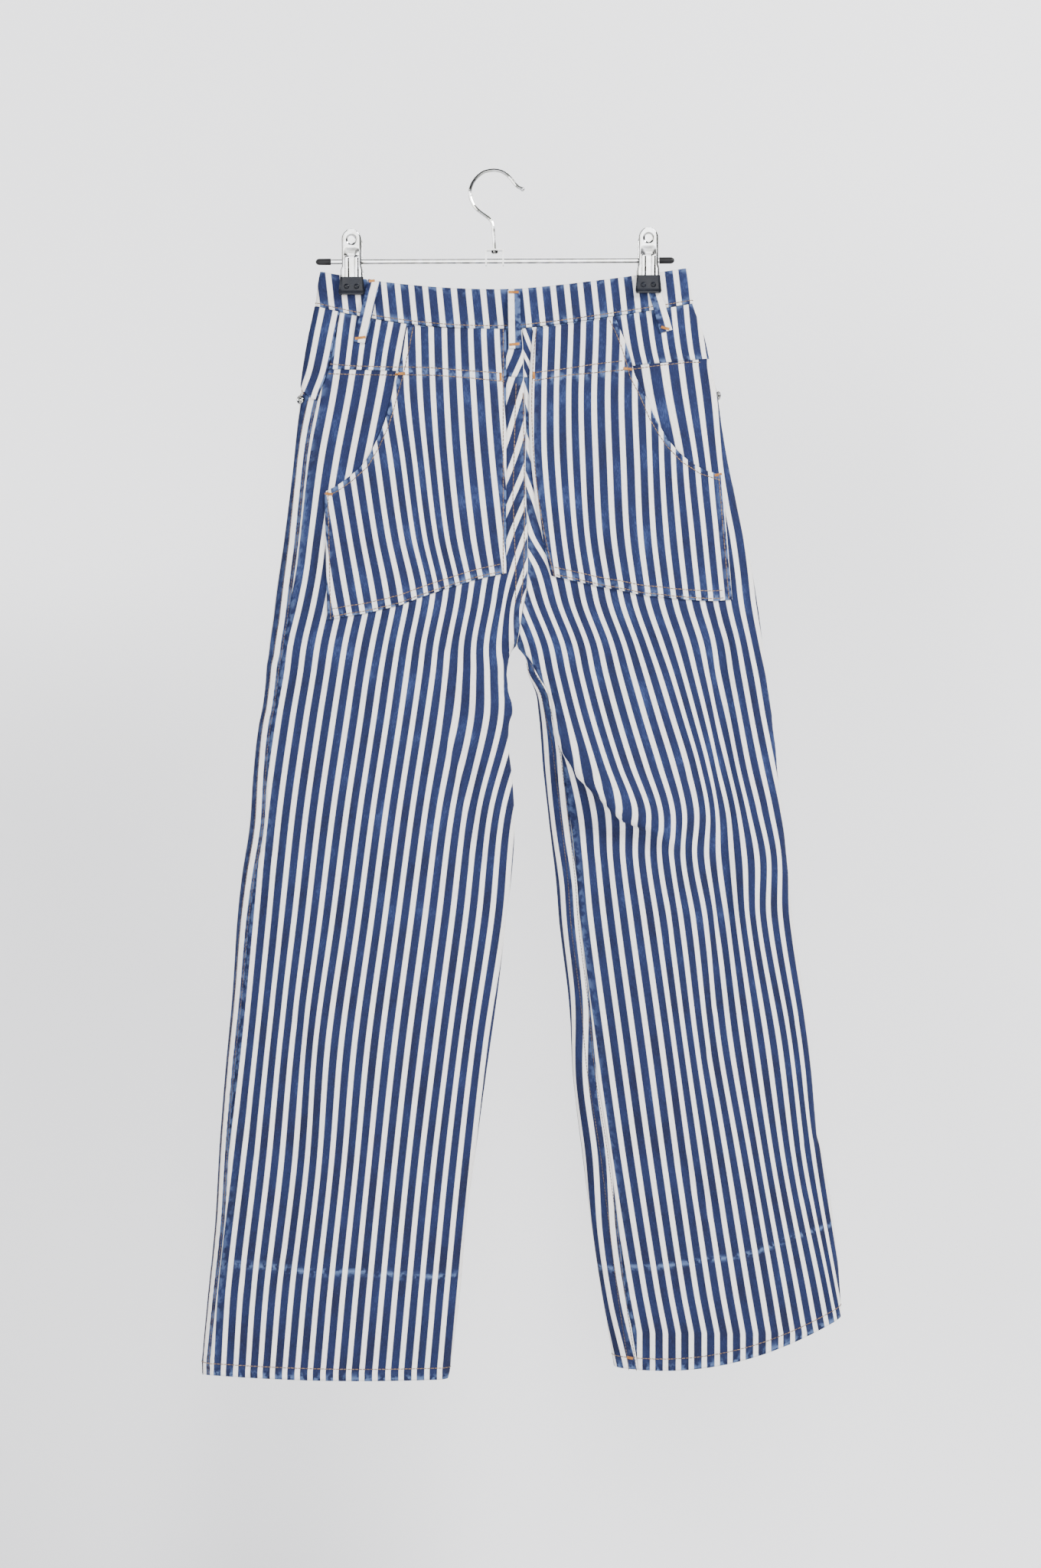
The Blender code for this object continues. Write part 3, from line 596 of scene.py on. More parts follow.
def seam_wear(distance, reach=6.0):
    """How worn the cloth is at a distance from an edge, from 1 on it to 0."""
    return np.exp(-((np.maximum(distance, 0) / reach) ** 2))


def shader_group(name, inputs):
    """A node group with float inputs, which gives a colour, a roughness and a height."""
    tree = bpy.data.node_groups.new(name, "ShaderNodeTree")
    for title in inputs:
        tree.interface.new_socket(title, in_out="INPUT", socket_type="NodeSocketFloat")
    for title, kind in (("Color", "Color"), ("Roughness", "Float"), ("Height", "Float")):
        tree.interface.new_socket(title, in_out="OUTPUT", socket_type="NodeSocket" + kind)
    return tree, tree.nodes.new("NodeGroupInput").outputs


def give(tree, colour, roughness, height):
    """Links what a node group puts out."""
    given = tree.nodes.new("NodeGroupOutput")
    for title, value in (("Color", colour), ("Roughness", roughness), ("Height", height)):
        tree.links.new(value, given.inputs[title])


def put(tree, kind, *values, **settings):
    """Adds a node, with its first sockets linked or set in order, and gives its first output."""
    node = tree.nodes.new("ShaderNode" + kind)
    for key, value in settings.items():
        setattr(node, key, value)
    for socket, value in zip(node.inputs, values):
        if isinstance(value, bpy.types.NodeSocket):
            tree.links.new(value, socket)
        elif value is not None:
            socket.default_value = value
    return node.outputs[0]


def calc(tree, operation, *values):
    """Adds a sum on values or sockets."""
    return put(tree, "Math", *values, operation=operation)


def step_between(tree, value, low, high, to_low=0.0, to_high=1.0):
    """A soft step of a value, from one level to another."""
    return put(tree, "MapRange", value, low, high, to_low, to_high, interpolation_type="SMOOTHSTEP")


def noise(tree, across, along_it, scale_across, scale_along, detail=2.0, shift=0.0):
    """Noise on the cloth's own coordinates, with its own scale across and along the warp."""
    place = put(
        tree,
        "CombineXYZ",
        calc(tree, "MULTIPLY", across, scale_across),
        calc(tree, "MULTIPLY", along_it, scale_along),
        shift,
    )
    return put(tree, "TexNoise", place, None, 1.0, detail, 0.55)


def mixed(tree, share, first, second):
    """A colour between two, which may be sockets or plain colours."""
    node = tree.nodes.new("ShaderNodeMix")
    node.data_type = "RGBA"
    for socket, value in ((node.inputs[0], share), (node.inputs[6], first), (node.inputs[7], second)):
        if isinstance(value, bpy.types.NodeSocket):
            tree.links.new(value, socket)
        else:
            socket.default_value = value if socket == node.inputs[0] else (*value, 1)
    return node.outputs[2]


# The first colour here darkens the cream yarns near seams: partly a real stain, partly painted shade in
# the pucker hollows.
STAIN_AND_SHADE = (0.42, 0.40, 0.40)
CREAM = (0.70, 0.68, 0.66)
CREAM_SHADOW = (0.60, 0.585, 0.575)
INDIGO = (0.0085, 0.0135, 0.050)
INDIGO_DEEP = (0.0062, 0.0085, 0.030)
INDIGO_PALE = (0.027, 0.045, 0.125)
INDIGO_WORN = (0.095, 0.15, 0.29)

denim, cloth_in = shader_group("washed_striped_denim", ("Across", "Along", "Worn"))
across, down, worn_in = cloth_in[:3]
ragged = noise(denim, across, down, 2600, 900, 1.0, 3.0)
number = calc(denim, "ADD", calc(denim, "DIVIDE", across, STRIPE_PITCH * MM), 0.5)
number = calc(denim, "ADD", number, calc(denim, "MULTIPLY", calc(denim, "SUBTRACT", ragged, 0.5), 0.02))
from_centre = calc(denim, "ABSOLUTE", calc(denim, "SUBTRACT", calc(denim, "FRACT", number), 0.5))
half_blue = STRIPE_BLUE / STRIPE_PITCH / 2
blue = step_between(denim, from_centre, half_blue - 0.03, half_blue + 0.03, 1.0, 0.0)
yarn = noise(denim, across, down, 1500, 260, 3.0, 7.0)
cloudy = noise(denim, across, down, 60, 25, 3.0, 11.0)
speck = step_between(denim, noise(denim, across, down, 1100, 520, 2.0, 17.0), 0.60, 0.74)
tone = calc(denim, "ADD", calc(denim, "MULTIPLY", yarn, 0.35), calc(denim, "MULTIPLY", cloudy, 0.65))
# Painted shade: the indigo is made darker lower down the legs.
painted_low_shade = step_between(denim, down, 0.30, 0.85)
tone = calc(denim, "SUBTRACT", tone, calc(denim, "MULTIPLY", painted_low_shade, 0.06))
indigo = mixed(denim, step_between(denim, tone, 0.32, 0.52), INDIGO_DEEP, INDIGO)
indigo = mixed(denim, step_between(denim, tone, 0.52, 0.72), indigo, INDIGO_PALE)
indigo = mixed(denim, calc(denim, "MULTIPLY", speck, 0.35), indigo, INDIGO_PALE)
patchy = noise(denim, across, down, 160, 120, 2.0, 23.0)
rubbed = calc(denim, "MULTIPLY", worn_in, step_between(denim, patchy, 0.42, 0.60))
# Near seams and hems the hollows of the puckered bump are coloured darker, deep indigo and a stain on the
# cream: partly real high-low wear and stain, partly painted shade in those hollows.
dark_wear_and_shade = calc(denim, "MULTIPLY", worn_in, step_between(denim, patchy, 0.46, 0.34))
indigo = mixed(denim, calc(denim, "MULTIPLY", rubbed, 0.75), indigo, INDIGO_WORN)
indigo = mixed(denim, calc(denim, "MULTIPLY", dark_wear_and_shade, 0.8), indigo, INDIGO_DEEP)
natural = mixed(denim, step_between(denim, yarn, 0.30, 0.60), CREAM_SHADOW, CREAM)
natural = mixed(denim, calc(denim, "MULTIPLY", dark_wear_and_shade, 0.22), natural, STAIN_AND_SHADE)
cloth_colour = mixed(denim, blue, natural, indigo)
diagonal = calc(denim, "ADD", calc(denim, "MULTIPLY", across, 8200), calc(denim, "MULTIPLY", down, 6100))
twill = calc(denim, "MULTIPLY", calc(denim, "SINE", diagonal), 0.10)
height = calc(denim, "ADD", twill, yarn)
puckered = calc(denim, "MULTIPLY", calc(denim, "MULTIPLY", patchy, worn_in), 1.4)
height = calc(denim, "ADD", height, puckered)
give(denim, cloth_colour, step_between(denim, yarn, 0.2, 0.8, 0.95, 0.80), height)


def finished_material(name, group, feeds, bump, distance, **constants):
    """A material whose shader takes its colour, roughness and bump from a group."""
    material = bpy.data.materials.new(name)
    material.use_nodes = True
    tree = material.node_tree
    shader = tree.nodes["Principled BSDF"]
    look = tree.nodes.new("ShaderNodeGroup")
    look.node_tree = group
    for title, socket in feeds(tree).items():
        tree.links.new(socket, look.inputs[title])
    tree.links.new(look.outputs["Color"], shader.inputs["Base Color"])
    tree.links.new(look.outputs["Roughness"], shader.inputs["Roughness"])
    relief = tree.nodes.new("ShaderNodeBump")
    relief.inputs["Strength"].default_value = bump
    relief.inputs["Distance"].default_value = distance
    tree.links.new(look.outputs["Height"], relief.inputs["Height"])
    tree.links.new(relief.outputs["Normal"], shader.inputs["Normal"])
    for title, value in constants.items():
        shader.inputs[title.replace("_", " ")].default_value = value
    return material


def cloth_feeds(tree):
    """The place in the weave and the wear of a sheet, for the cloth's group."""
    uv = tree.nodes.new("ShaderNodeUVMap")
    uv.uv_map = "weave"
    parts = tree.nodes.new("ShaderNodeSeparateXYZ")
    tree.links.new(uv.outputs[0], parts.inputs[0])
    wear = tree.nodes.new("ShaderNodeAttribute")
    wear.attribute_name = "worn"
    return {"Across": parts.outputs[0], "Along": parts.outputs[1], "Worn": wear.outputs["Fac"]}


denim_cloth = finished_material(
    "striped_denim_cloth", denim, cloth_feeds, 0.5, 0.0004, Specular_IOR_Level=0.2
)


def sewn_in(piece, node):
    """Gives a sheet its cloth and its body, and hides the node it stands for."""
    piece.data.materials.clear()
    piece.data.materials.append(denim_cloth)
    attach(piece, "root")
    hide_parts(node)


def pucker(points, front, from_seam, level, period, seed, tall=0.45, reach=7.0):
    """Moves a grid in and out near a seam, in the uneven gathers that a felled seam draws."""
    wave = uneven(level, period, seed) * np.exp(-((from_seam / reach) ** 2)) * tall
    return points + outward(points, front) * wave[..., None]


def gathered(points, front, from_outer, from_inner, start, level, seed):
    """A leg panel drawn in along its two seams and at its hem."""
    points = pucker(points, front, from_outer, level, 8.5, seed)
    points = pucker(points, front, from_inner, level, 9.5, seed + 1, 0.35)
    return pucker(points, front, HEM_STITCH - level, start, 11.0, seed + 2, 0.5, 6.0)


OLD_HEM = 862
grids = {}
for name, half, stripes, counted, creases, columns, spacing, seed in (
    ("left", LEFT, LEFT_STRIPES, (0, 5, 10, 14, 17), LEFT_CREASES, 84, 3.3, 0.7),
    ("right", RIGHT, RIGHT_STRIPES, (0, 5, 10, 15, 18), RIGHT_CREASES, 112, 2.5, 2.1),
):
    points, start, level, width = leg_grid(half, YOKE, HEM_EDGE, columns, "back", spacing)
    count = stripe_number(stripes, counted, points[..., 0], points[..., 2])
    edge = np.abs(outward(points, False)[..., 1]) > 0.6
    for r in range(len(points)):
        seen = np.flatnonzero(edge[r])
        for c in range(seen[-1] + 1, points.shape[1]):
            run = half["side"] * np.linalg.norm(points[r, c] - points[r, c - 1])
            count[r, c] = count[r, c - 1] + run / STRIPE_PITCH
        for c in range(seen[0] - 1, -1, -1):
            run = half["side"] * np.linalg.norm(points[r, c] - points[r, c + 1])
            count[r, c] = count[r, c + 1] - run / STRIPE_PITCH
    lift = creased(creases, points[..., 0], points[..., 2])
    lift *= np.minimum(1, start / 12) * np.minimum(1, (width - start) / 12)
    points = points + outward(points, False) * lift[..., None]
    if name == "right":
        points = overhung(points, THIGH_FOLD, 5.6, 2.6, 19.0)
    points = gathered(points, False, width - start, start, start, level, seed)
    wear = 0.5 * np.maximum(seam_wear(width - start, 5), seam_wear(start, 5))
    wear = np.maximum(wear, seam_wear(HEM_EDGE - level, 6))
    slant = 18 - 14 * start / width if name == "left" else 0
    old_fold = OLD_HEM + slant + 1.6 * uneven(start, 90, seed)
    wear = np.maximum(wear, seam_wear(np.abs(level - old_fold), 2.1))
    panel = cloth_sheet(
        f"back_leg_{name}", points, count * STRIPE_PITCH, level, wear, HEM, doubled=level >= HEM_STITCH
    )
    grids[f"back_{name}"] = points
    sewn_in(panel, f"back_panel_{name}")


# --- Front leg panels ---
# The front of each leg in the same cloth, cut away at the top for the pocket mouth.
# It meets the back in felled seams, and its front edges meet at the fly.
FRONT_CREASES_LEFT = (
    (((-40, -450), (-90, -520), (-120, -560)), 8, 16, 3.0),
    (((-30, -520), (-44, -620), (-40, -700)), 8, 12, -2.4),
    (((-150, -560), (-160, -700), (-158, -820)), 10, 14, -2.2),
    (((-90, -760), (-84, -860), (-92, -960)), 12, 14, 1.8),
    (((-190, -880), (-182, -960)), 8, 10, -1.8),
    (((-130, -1000), (-124, -1060)), 9, 11, 1.2),
    (((-60, -200), (-80, -260), (-84, -330)), 12, 12, 1.4),
)
FRONT_CREASES_RIGHT = (
    (((70, -455), (130, -520), (172, -556)), 8, 18, 3.2),
    (((86, -530), (104, -640), (100, -730)), 8, 12, -2.6),
    (((196, -560), (206, -690), (208, -800)), 9, 13, -2.6),
    (((140, -790), (152, -880), (150, -960)), 12, 14, 1.6),
    (((240, -900), (252, -980)), 7, 10, -1.8),
    (((180, -980), (190, -1040)), 9, 10, 1.4),
    (((110, -210), (126, -270), (134, -340)), 12, 12, 1.4),
)
for name, half, creases, seed in (
    ("left", LEFT, FRONT_CREASES_LEFT, 4.2),
    ("right", RIGHT, FRONT_CREASES_RIGHT, 5.6),
):
    points, start, level, width = leg_grid(half, 0, HEM_EDGE, 84, "front")
    from_end = width - start
    lift = creased(creases, points[..., 0], points[..., 2])
    lift *= np.minimum(1, start / 40) * np.minimum(1, from_end / 40)
    points = points + outward(points, True) * lift[..., None]
    points = gathered(points, True, start, from_end, start, level, seed)
    wear = 0.5 * np.maximum(seam_wear(start, 11), seam_wear(from_end, 5))
    wear = np.maximum(wear, seam_wear(HEM_EDGE - level, 6))
    old_fold = OLD_HEM + 4 + 1.6 * uneven(start, 90, seed)
    wear = np.maximum(wear, seam_wear(np.abs(level - old_fold), 2.6))
    across = start - 12.0 + np.where(level < RIVET, along(POCKET_MOUTH, level), 0)
    panel = cloth_sheet(
        f"front_leg_{name}", points, across, level, wear, HEM, True, doubled=level >= HEM_STITCH
    )
    grids[f"front_{name}"] = points
    sewn_in(panel, f"front_panel_{name}")


# --- Yokes ---
# A shaped piece of the same cloth on each side between the waistband and the leg's back.
# It is felled to the panel below, so a stepped edge and two rows of stitching show.
LEFT_YOKE_STRIPES = (
    # z, stripe 0, 4, 13
    (-120, -132.0, -85.5, 28.0),
    (-137, -135.0, -88.5, 25.0),
    (-165, -138.5, -94.0, 22.5),
    (-182, -140.5, -96.5, 16.0),
    (-200, -143.0, -99.0, 8.0),
)
RIGHT_YOKE_STRIPES = (
    # z, stripe 0, 3, 9, 13
    (-120, 9.0, 48.0, 124.0, 171.0),
    (-146, 22.0, 53.0, 127.5, 173.5),
    (-165, 30.0, 57.5, 130.5, 176.0),
    (-180, 37.0, 61.0, 134.0, 179.0),
    (-200, 44.0, 66.0, 139.0, 183.0),
)
for name, half, stripes, counted, seed in (
    ("left", LEFT, LEFT_YOKE_STRIPES, (0, 4, 13), 1.3),
    ("right", RIGHT, RIGHT_YOKE_STRIPES, (0, 3, 9, 13), 3.3),
):
    points, start, level, width = leg_grid(half, 0, YOKE, 90, "back", 2.6)
    count = stripe_number(stripes, counted, points[..., 0], points[..., 2])
    points = pucker(points, False, YOKE - level, start, 9.0, seed, 0.35, 6.0)
    points = pucker(points, False, width - start, level, 8.0, seed + 1, 0.35, 6.0)
    wear = np.maximum(seam_wear(YOKE - level, 3), seam_wear(width - start, 4))
    wear = np.maximum(wear, 0.7 * seam_wear(level, 2.5))
    piece = cloth_sheet(f"yoke_{name}", points, count * STRIPE_PITCH, level, wear, CLOTH)
    grids[f"yoke_{name}"] = points
    sewn_in(piece, f"back_yoke_{name}")


# --- Front pocket facings ---
# The piece of cloth seen inside each slanting front pocket, at the side of the hip.
# It is the pocket bag's outer layer, sewn under the waistband and into the side seam.
for name, half in (("left", LEFT), ("right", RIGHT)):
    points, start, level, width = leg_grid(half, 0, RIVET, 30, "facing", 2.6)
    wear = np.maximum(seam_wear(start, 4), 0.6 * seam_wear(width - start, 3))
    piece = cloth_sheet(f"pocket_facing_cloth_{name}", points, start + 2.0, level, wear, CLOTH, True)
    sewn_in(piece, f"pocket_facing_{name}")


# --- Patch pockets ---
# Two big patches laid over the seat, their mouths cut in a curve towards the side and
# turned in twice, stitched round the other edges and over the yoke seam.
PATCH = 1.2
LAY = 0.5
LEFT_POCKET = (
    # column, mouth x, mouth z, foot x, foot z
    (0, 11.5, -146.2, 11.5, -371.5),
    (1, -16.0, -145.9, -16.0, -377.5),
    (2, -43.5, -145.4, -43.5, -386.0),
    (3, -68.5, -144.2, -68.5, -394.5),
    (4, -79.0, -143.6, -79.0, -398.5),
    (5, -83.0, -164.5, -83.0, -400.0),
    (6, -87.5, -186.0, -87.5, -401.5),
    (7, -92.0, -202.0, -92.0, -402.5),
    (8, -97.0, -221.0, -97.0, -404.0),
    (9, -102.0, -236.5, -102.0, -405.0),
    (10, -110.5, -255.0, -110.5, -407.0),
    (11, -119.5, -270.5, -119.5, -409.0),
    (12, -134.0, -283.5, -134.0, -411.0),
    (13, -145.5, -291.5, -144.5, -413.0),
    (14, -155.5, -296.5, -153.0, -414.0),
)
RIGHT_POCKET = (
    # column, mouth x, mouth z, foot x, foot z, bow
    (0, 36.5, -146.3, 53.0, -374.0, -11),
    (1, 60.0, -142.9, 75.5, -379.0, -10),
    (2, 84.5, -139.9, 99.5, -384.5, -9),
    (3, 102.0, -137.3, 116.0, -387.5, -8),
    (4, 111.0, -136.0, 125.5, -389.5, -7),
    (5, 117.0, -148.5, 130.0, -390.5, -7),
    (6, 122.0, -161.0, 134.5, -391.5, -6),
    (7, 126.5, -175.5, 138.5, -392.0, -6),
    (8, 130.0, -189.5, 142.0, -392.5, -5),
    (9, 137.5, -203.5, 148.5, -393.0, -5),
    (10, 148.0, -228.0, 158.5, -394.0, -4),
    (11, 155.5, -241.0, 166.0, -395.0, -4),
    (12, 162.5, -251.5, 173.0, -395.5, -3),
    (13, 176.0, -265.5, 186.5, -396.5, -2),
    (14, 192.0, -275.5, 203.0, -397.0, -1),
    (15, 210.0, -281.0, 219.5, -395.5, 0),
)
LEFT_PATCH_STRIPES = (
    # z, stripe 0, 4, 8, 12
    (-130, -3.0, -51.5, -101.0, -151.0),
    (-154, -3.0, -51.5, -100.0, -149.0),
    (-211, 0.5, -49.5, -97.5, -144.0),
    (-267, 5.0, -46.0, -89.0, -138.0),
    (-337, 12.5, -38.0, -79.0, -127.0),
    (-380, 17.0, -28.5, -69.0, -119.0),
    (-415, 21.0, -23.0, -64.0, -113.0),
)
RIGHT_PATCH_STRIPES = (
    # z, stripe 0, 4, 8, 12, 14
    (-130, 42.5, 88.5, 138.0, 187.0, 212.0),
    (-154, 42.0, 88.0, 137.0, 186.0, 211.0),
    (-211, 40.5, 86.0, 136.0, 184.0, 208.0),
    (-267, 41.0, 87.5, 138.0, 181.5, 205.0),
    (-337, 48.0, 91.5, 141.0, 188.0, 210.5),
    (-394, 56.0, 101.0, 148.0, 194.0, 216.0),
)
PATCH_CREASES_LEFT = (
    (((-100, -300), (-104, -350), (-98, -396)), 9, 10, 1.0),
    (((-8, -170), (-4, -230)), 7, 8, 0.9),
)
PATCH_CREASES_RIGHT = (
    (((150, -250), (176, -300), (190, -350)), 10, 13, 1.4),
    (((110, -190), (118, -240)), 8, 9, 0.9),
)

YOKE_SEAM = (
    # x, z of the yoke's lower edge
    (-200, -183.5),
    (-60, -186.5),
    (10, -191.0),
    (40, -193.0),
    (100, -187.0),
    (160, -181.0),
    (240, -175.0),
)


def cover_of(*names):
    """The outer faces of some grids of points, as one tree for finding what lies below."""
    corners, faces = [], []
    for name in names:
        points = grids[name]
        base = len(corners)
        corners += [Vector(p) for p in points.reshape(-1, 3)]
        rows, columns = points.shape[:2]
        for r in range(rows - 1):
            for c in range(columns - 1):
                a = base + r * columns + c
                faces.append((a, a + 1, a + columns + 1, a + columns))
    return BVHTree.FromPolygons(corners, faces)


FAR = 200


def resting(cover, x, z, way=1):
    """Depth of what lies below each place, looking along way."""
    depth = np.full(x.shape, np.nan)
    for at in np.ndindex(x.shape):
        hit = cover.ray_cast(Vector((x[at], -FAR * way, z[at])), Vector((0, way, 0)))[0]
        if hit is not None:
            depth[at] = hit.y
    for grid in (depth, depth.T):
        for row in grid:
            known = ~np.isnan(row)
            if known.any():
                where = np.arange(len(row))
                row[:] = np.interp(where, where[known], row[known])
    return depth


def smoothed(values, times=2):
    """A grid of depths with its steps softened, as a cloth lying over them would."""
    for _ in range(times):
        padded = np.pad(values, 1, mode="edge")
        values = (
            2 * padded[1:-1, 1:-1]
            + padded[:-2, 1:-1]
            + padded[2:, 1:-1]
            + padded[1:-1, :-2]
            + padded[1:-1, 2:]
        ) / 6
    return values


for name, table, stripes, counted, creases, area, seed in (
    ("left", LEFT_POCKET, LEFT_PATCH_STRIPES, (0, 4, 8, 12), PATCH_CREASES_LEFT, 0.037, 0.4),
    ("right", RIGHT_POCKET, RIGHT_PATCH_STRIPES, (0, 4, 8, 12, 14), PATCH_CREASES_RIGHT, 0.038, 1.9),
):
    at = np.linspace(0, table[-1][0], 72)[None, :]
    share = np.linspace(0, 1, 90)[:, None]
    mouth_x, mouth_z = along(table, at, 1), along(table, at, 2)
    foot_x, foot_z = along(table, at, 3), along(table, at, 4)
    bow = along(table, at, 5) if len(table[0]) > 5 else 0
    x = mouth_x + (foot_x - mouth_x) * share + bow * 4 * share * (1 - share)
    z = mouth_z + (foot_z - mouth_z) * share
    cover = cover_of(f"back_{name}", f"yoke_{name}")
    y = smoothed(resting(cover, x, z)) - LAY - PATCH
    points = np.stack([x, y, z], axis=-1)
    count = stripe_number(stripes, counted, x, z)
    from_inner = np.abs(x - x[:, :1])
    from_outer = np.abs(x[:, -1:] - x)
    from_foot = z - foot_z
    curve = np.stack([mouth_x[0], mouth_z[0]], axis=-1)
    curve = curve[at[0] >= 3.9]
    from_curve = np.hypot(x[..., None] - curve[:, 0], z[..., None] - curve[:, 1]).min(axis=-1)
    seam_away = np.abs(z - along(YOKE_SEAM, x))
    lift = creased(creases, x, z) + 0.9 * np.exp(-((seam_away / 4.5) ** 2))
    lift *= np.clip(np.minimum(from_inner, from_foot) / 8, 0, 1)
    points[..., 1] -= lift
    points = pucker(points, False, from_inner, z, 8.0, seed, 0.3, 6)
    points = pucker(points, False, from_foot, x, 8.5, seed + 1, 0.35, 8)
    points = pucker(points, False, seam_away, x, 9.0, seed + 2, 0.3, 7)
    wear = np.maximum(seam_wear(from_inner, 4), seam_wear(from_outer, 4))
    wear = np.maximum(wear, np.maximum(seam_wear(from_foot, 5), seam_wear(from_curve, 4)))
    wear = np.maximum(wear, 0.9 * seam_wear(seam_away, 4))
    patch = cloth_sheet(f"patch_{name}", points, count * STRIPE_PITCH, -z, wear, PATCH)
    grids[f"patch_{name}"] = points
    sewn_in(patch, f"patch_pocket_{name}")


# --- Waistband ---
# One straight strip of the same cloth, folded over an interlining and closed at the front.
# Its lower edge is turned in and topstitched, and it is what the clips hold.
BAND = 3.0
BAND_TOP = -37.0
BAND_OUT = 0.8
BAND_PITCH = 12.8
BAND_STRIPES = (
    # x, stripe number counted from the left
    (-175.0, -1.05),
    (-157.5, 0.0),
    (-55.0, 8.0),
    (-1.5, 12.0),
    (50.0, 16.0),
    (100.0, 20.0),
    (175.5, 26.0),
    (195.0, 27.6),
)
levels = np.linspace(BAND_TOP, -GAP, 19)
halves = []
for half in (LEFT, RIGHT):
    ring, distance, side_at, fold_r, opened = rings(half, levels, BAND_OUT)
    share = np.linspace(0, 1, 150)[None, :]
    stops = (distance[:, -1] - GAP / 2)[:, None] * share
    grid = laid(ring, distance, stops, opened < -1)
    count = along(BAND_STRIPES, grid[..., 0] - 0.1 * (levels[:, None] + 18), 1)
    side_column = np.argmin(np.abs(stops - side_at[:, None]), axis=1)
    for r in range(len(levels)):
        run = stops[r] - stops[r, side_column[r]]
        past = run > -4
        first = np.flatnonzero(past)[0]
        beyond = count[r, first] + half["side"] * (stops[r] - stops[r, first]) / BAND_PITCH
        count[r] = np.where(past, beyond, count[r])
    halves.append((grid, count))
points = np.hstack([halves[0][0][:, ::-1], halves[1][0][:, 1:]])
count = np.hstack([halves[0][1][:, ::-1], halves[1][1][:, 1:]])
level = np.repeat(levels[:, None], points.shape[1], 1)
run = np.cumsum(np.linalg.norm(np.diff(points, axis=1, prepend=points[:, :1]), axis=-1), axis=1)
crown = 0.5 * np.sin(np.pi * np.clip((BAND_TOP - level) / BAND_TOP, 0, 1))
points = points + outward(points, False) * crown[..., None]
points = pucker(points, False, -level - 3.5, run, 9.0, 0.9, 0.3, 5)
points = pucker(points, False, level - BAND_TOP, run, 12.0, 2.9, 0.2, 5)
wear = np.maximum(seam_wear(-level, 5), 0.7 * seam_wear(level - BAND_TOP, 4))
band = cloth_sheet("waistband_strip", points, count * STRIPE_PITCH, level, wear, BAND)
grids["band"] = points
sewn_in(band, "waistband")


# --- Belt loops ---
# Five narrow strips of the cloth, folded in three, tacked above and below the waistband
# and standing a little off it between their tacks.
LOOP_THICK = 1.5
LOOP_WIDE = 11.5
LOOP_RISE = 2.0
LOOPS = (
    # name, side, top x, top z, foot x, foot z, rise from, blue at, weave spread
    ("back_left", -1, -110.0, -101.5, -123.5, -159.0, 0.10, -0.9, 0.75),
    ("back_centre", -1, 18.5, -110.5, 19.5, -164.5, 0.10, 8.2, 0.75),
    ("back_right", -1, 143.5, -96.0, 159.0, -148.5, 0.42, 0.8, 0.75),
    ("front_left", 1, -82.0, -105.5, -84.0, -160.0, 0.10, 6.0, 1.0),
    ("front_right", 1, 118.0, -99.5, 120.0, -153.0, 0.10, 3.0, 1.0),
)
back_cover = cover_of("band", "yoke_left", "yoke_right", "patch_left", "patch_right")
front_cover = cover_of("band", "front_left", "front_right")
for name, side, top_x, top_z, foot_x, foot_z, rise_from, blue_at, spread in LOOPS:
    run_x, run_z = foot_x - top_x, foot_z - top_z
    long = math.hypot(run_x, run_z)
    s = np.repeat(np.linspace(0, 1, 44)[:, None], 15, 1)
    w = np.repeat(np.linspace(-LOOP_WIDE / 2, LOOP_WIDE / 2, 15)[None, :], 44, 0)
    x = top_x + run_x * s - w * run_z / long
    z = top_z + run_z * s + w * run_x / long
    lift = LOOP_RISE * eased(np.minimum(s - rise_from, 0.92 - s) / 0.12)
    depth = smoothed(resting(back_cover if side < 0 else front_cover, x, z, -side), 6)
    edge_round = 0.5 * (np.abs(w) / (LOOP_WIDE / 2)) ** 6
    ends = 0.5 * np.maximum(0, np.abs(s - 0.5) - 0.47) / 0.03
    y = depth + side * (LAY + LOOP_THICK + lift - edge_round - ends)
    points = np.stack([x, y, z], axis=-1)
    from_edge = LOOP_WIDE / 2 - np.abs(w)
    points = pucker(points, side > 0, from_edge, long * s, 7.0, top_x, 0.15, 3)
    wear = np.maximum(seam_wear(from_edge, 2), 0.65)
    across = (w + LOOP_WIDE / 2) * spread - blue_at
    loop = cloth_sheet(f"loop_{name}", points, across, long * s, wear, LOOP_THICK, side > 0)
    grids[f"loop_{name}"] = points
    sewn_in(loop, f"belt_loop_{name}")


# --- Stitching ---
# Every seam is topstitched with a thick tan thread, browner where it runs over the felled
# leg seams, and its ends and the loops are held by short orange bar tacks.
STITCH_LONG = 3.1
STITCH_PITCH = 3.5
THREAD_R = 0.44


def choose_faces(piece, test):
    """Enters edit mode with only the faces selected that pass a test."""
    bpy.ops.object.mode_set(mode="EDIT")
    bpy.ops.mesh.select_mode(type="FACE")
    bpy.ops.mesh.select_all(action="DESELECT")
    bpy.ops.object.mode_set(mode="OBJECT")
    for face in piece.data.polygons:
        face.select = test(face)
    bpy.ops.object.mode_set(mode="EDIT")


cylinder_add = bpy.ops.mesh.primitive_cylinder_add
stitch = begun("stitch", cylinder_add, vertices=6, radius=THREAD_R, depth=STITCH_LONG * 0.6)
choose_faces(stitch, lambda face: abs(face.normal.z) > 0.9)
bpy.ops.mesh.extrude_faces_move(TRANSFORM_OT_shrink_fatten={"value": STITCH_LONG * 0.2})
bpy.ops.object.mode_set(mode="OBJECT")
for vertex in stitch.data.vertices:
    if abs(vertex.co.z) > STITCH_LONG * 0.4:
        vertex.co.x *= 0.45
        vertex.co.y *= 0.45
stitch_points = np.array([v.co for v in stitch.data.vertices])
stitch_faces = [tuple(f.vertices) for f in stitch.data.polygons]
bpy.data.objects.remove(stitch)


def placed_group(name):
    """A node group fed with a place on the object, and that place as one vector."""
    tree, given = shader_group(name, ("X", "Y", "Z"))
    return tree, put(tree, "CombineXYZ", *given[:3])


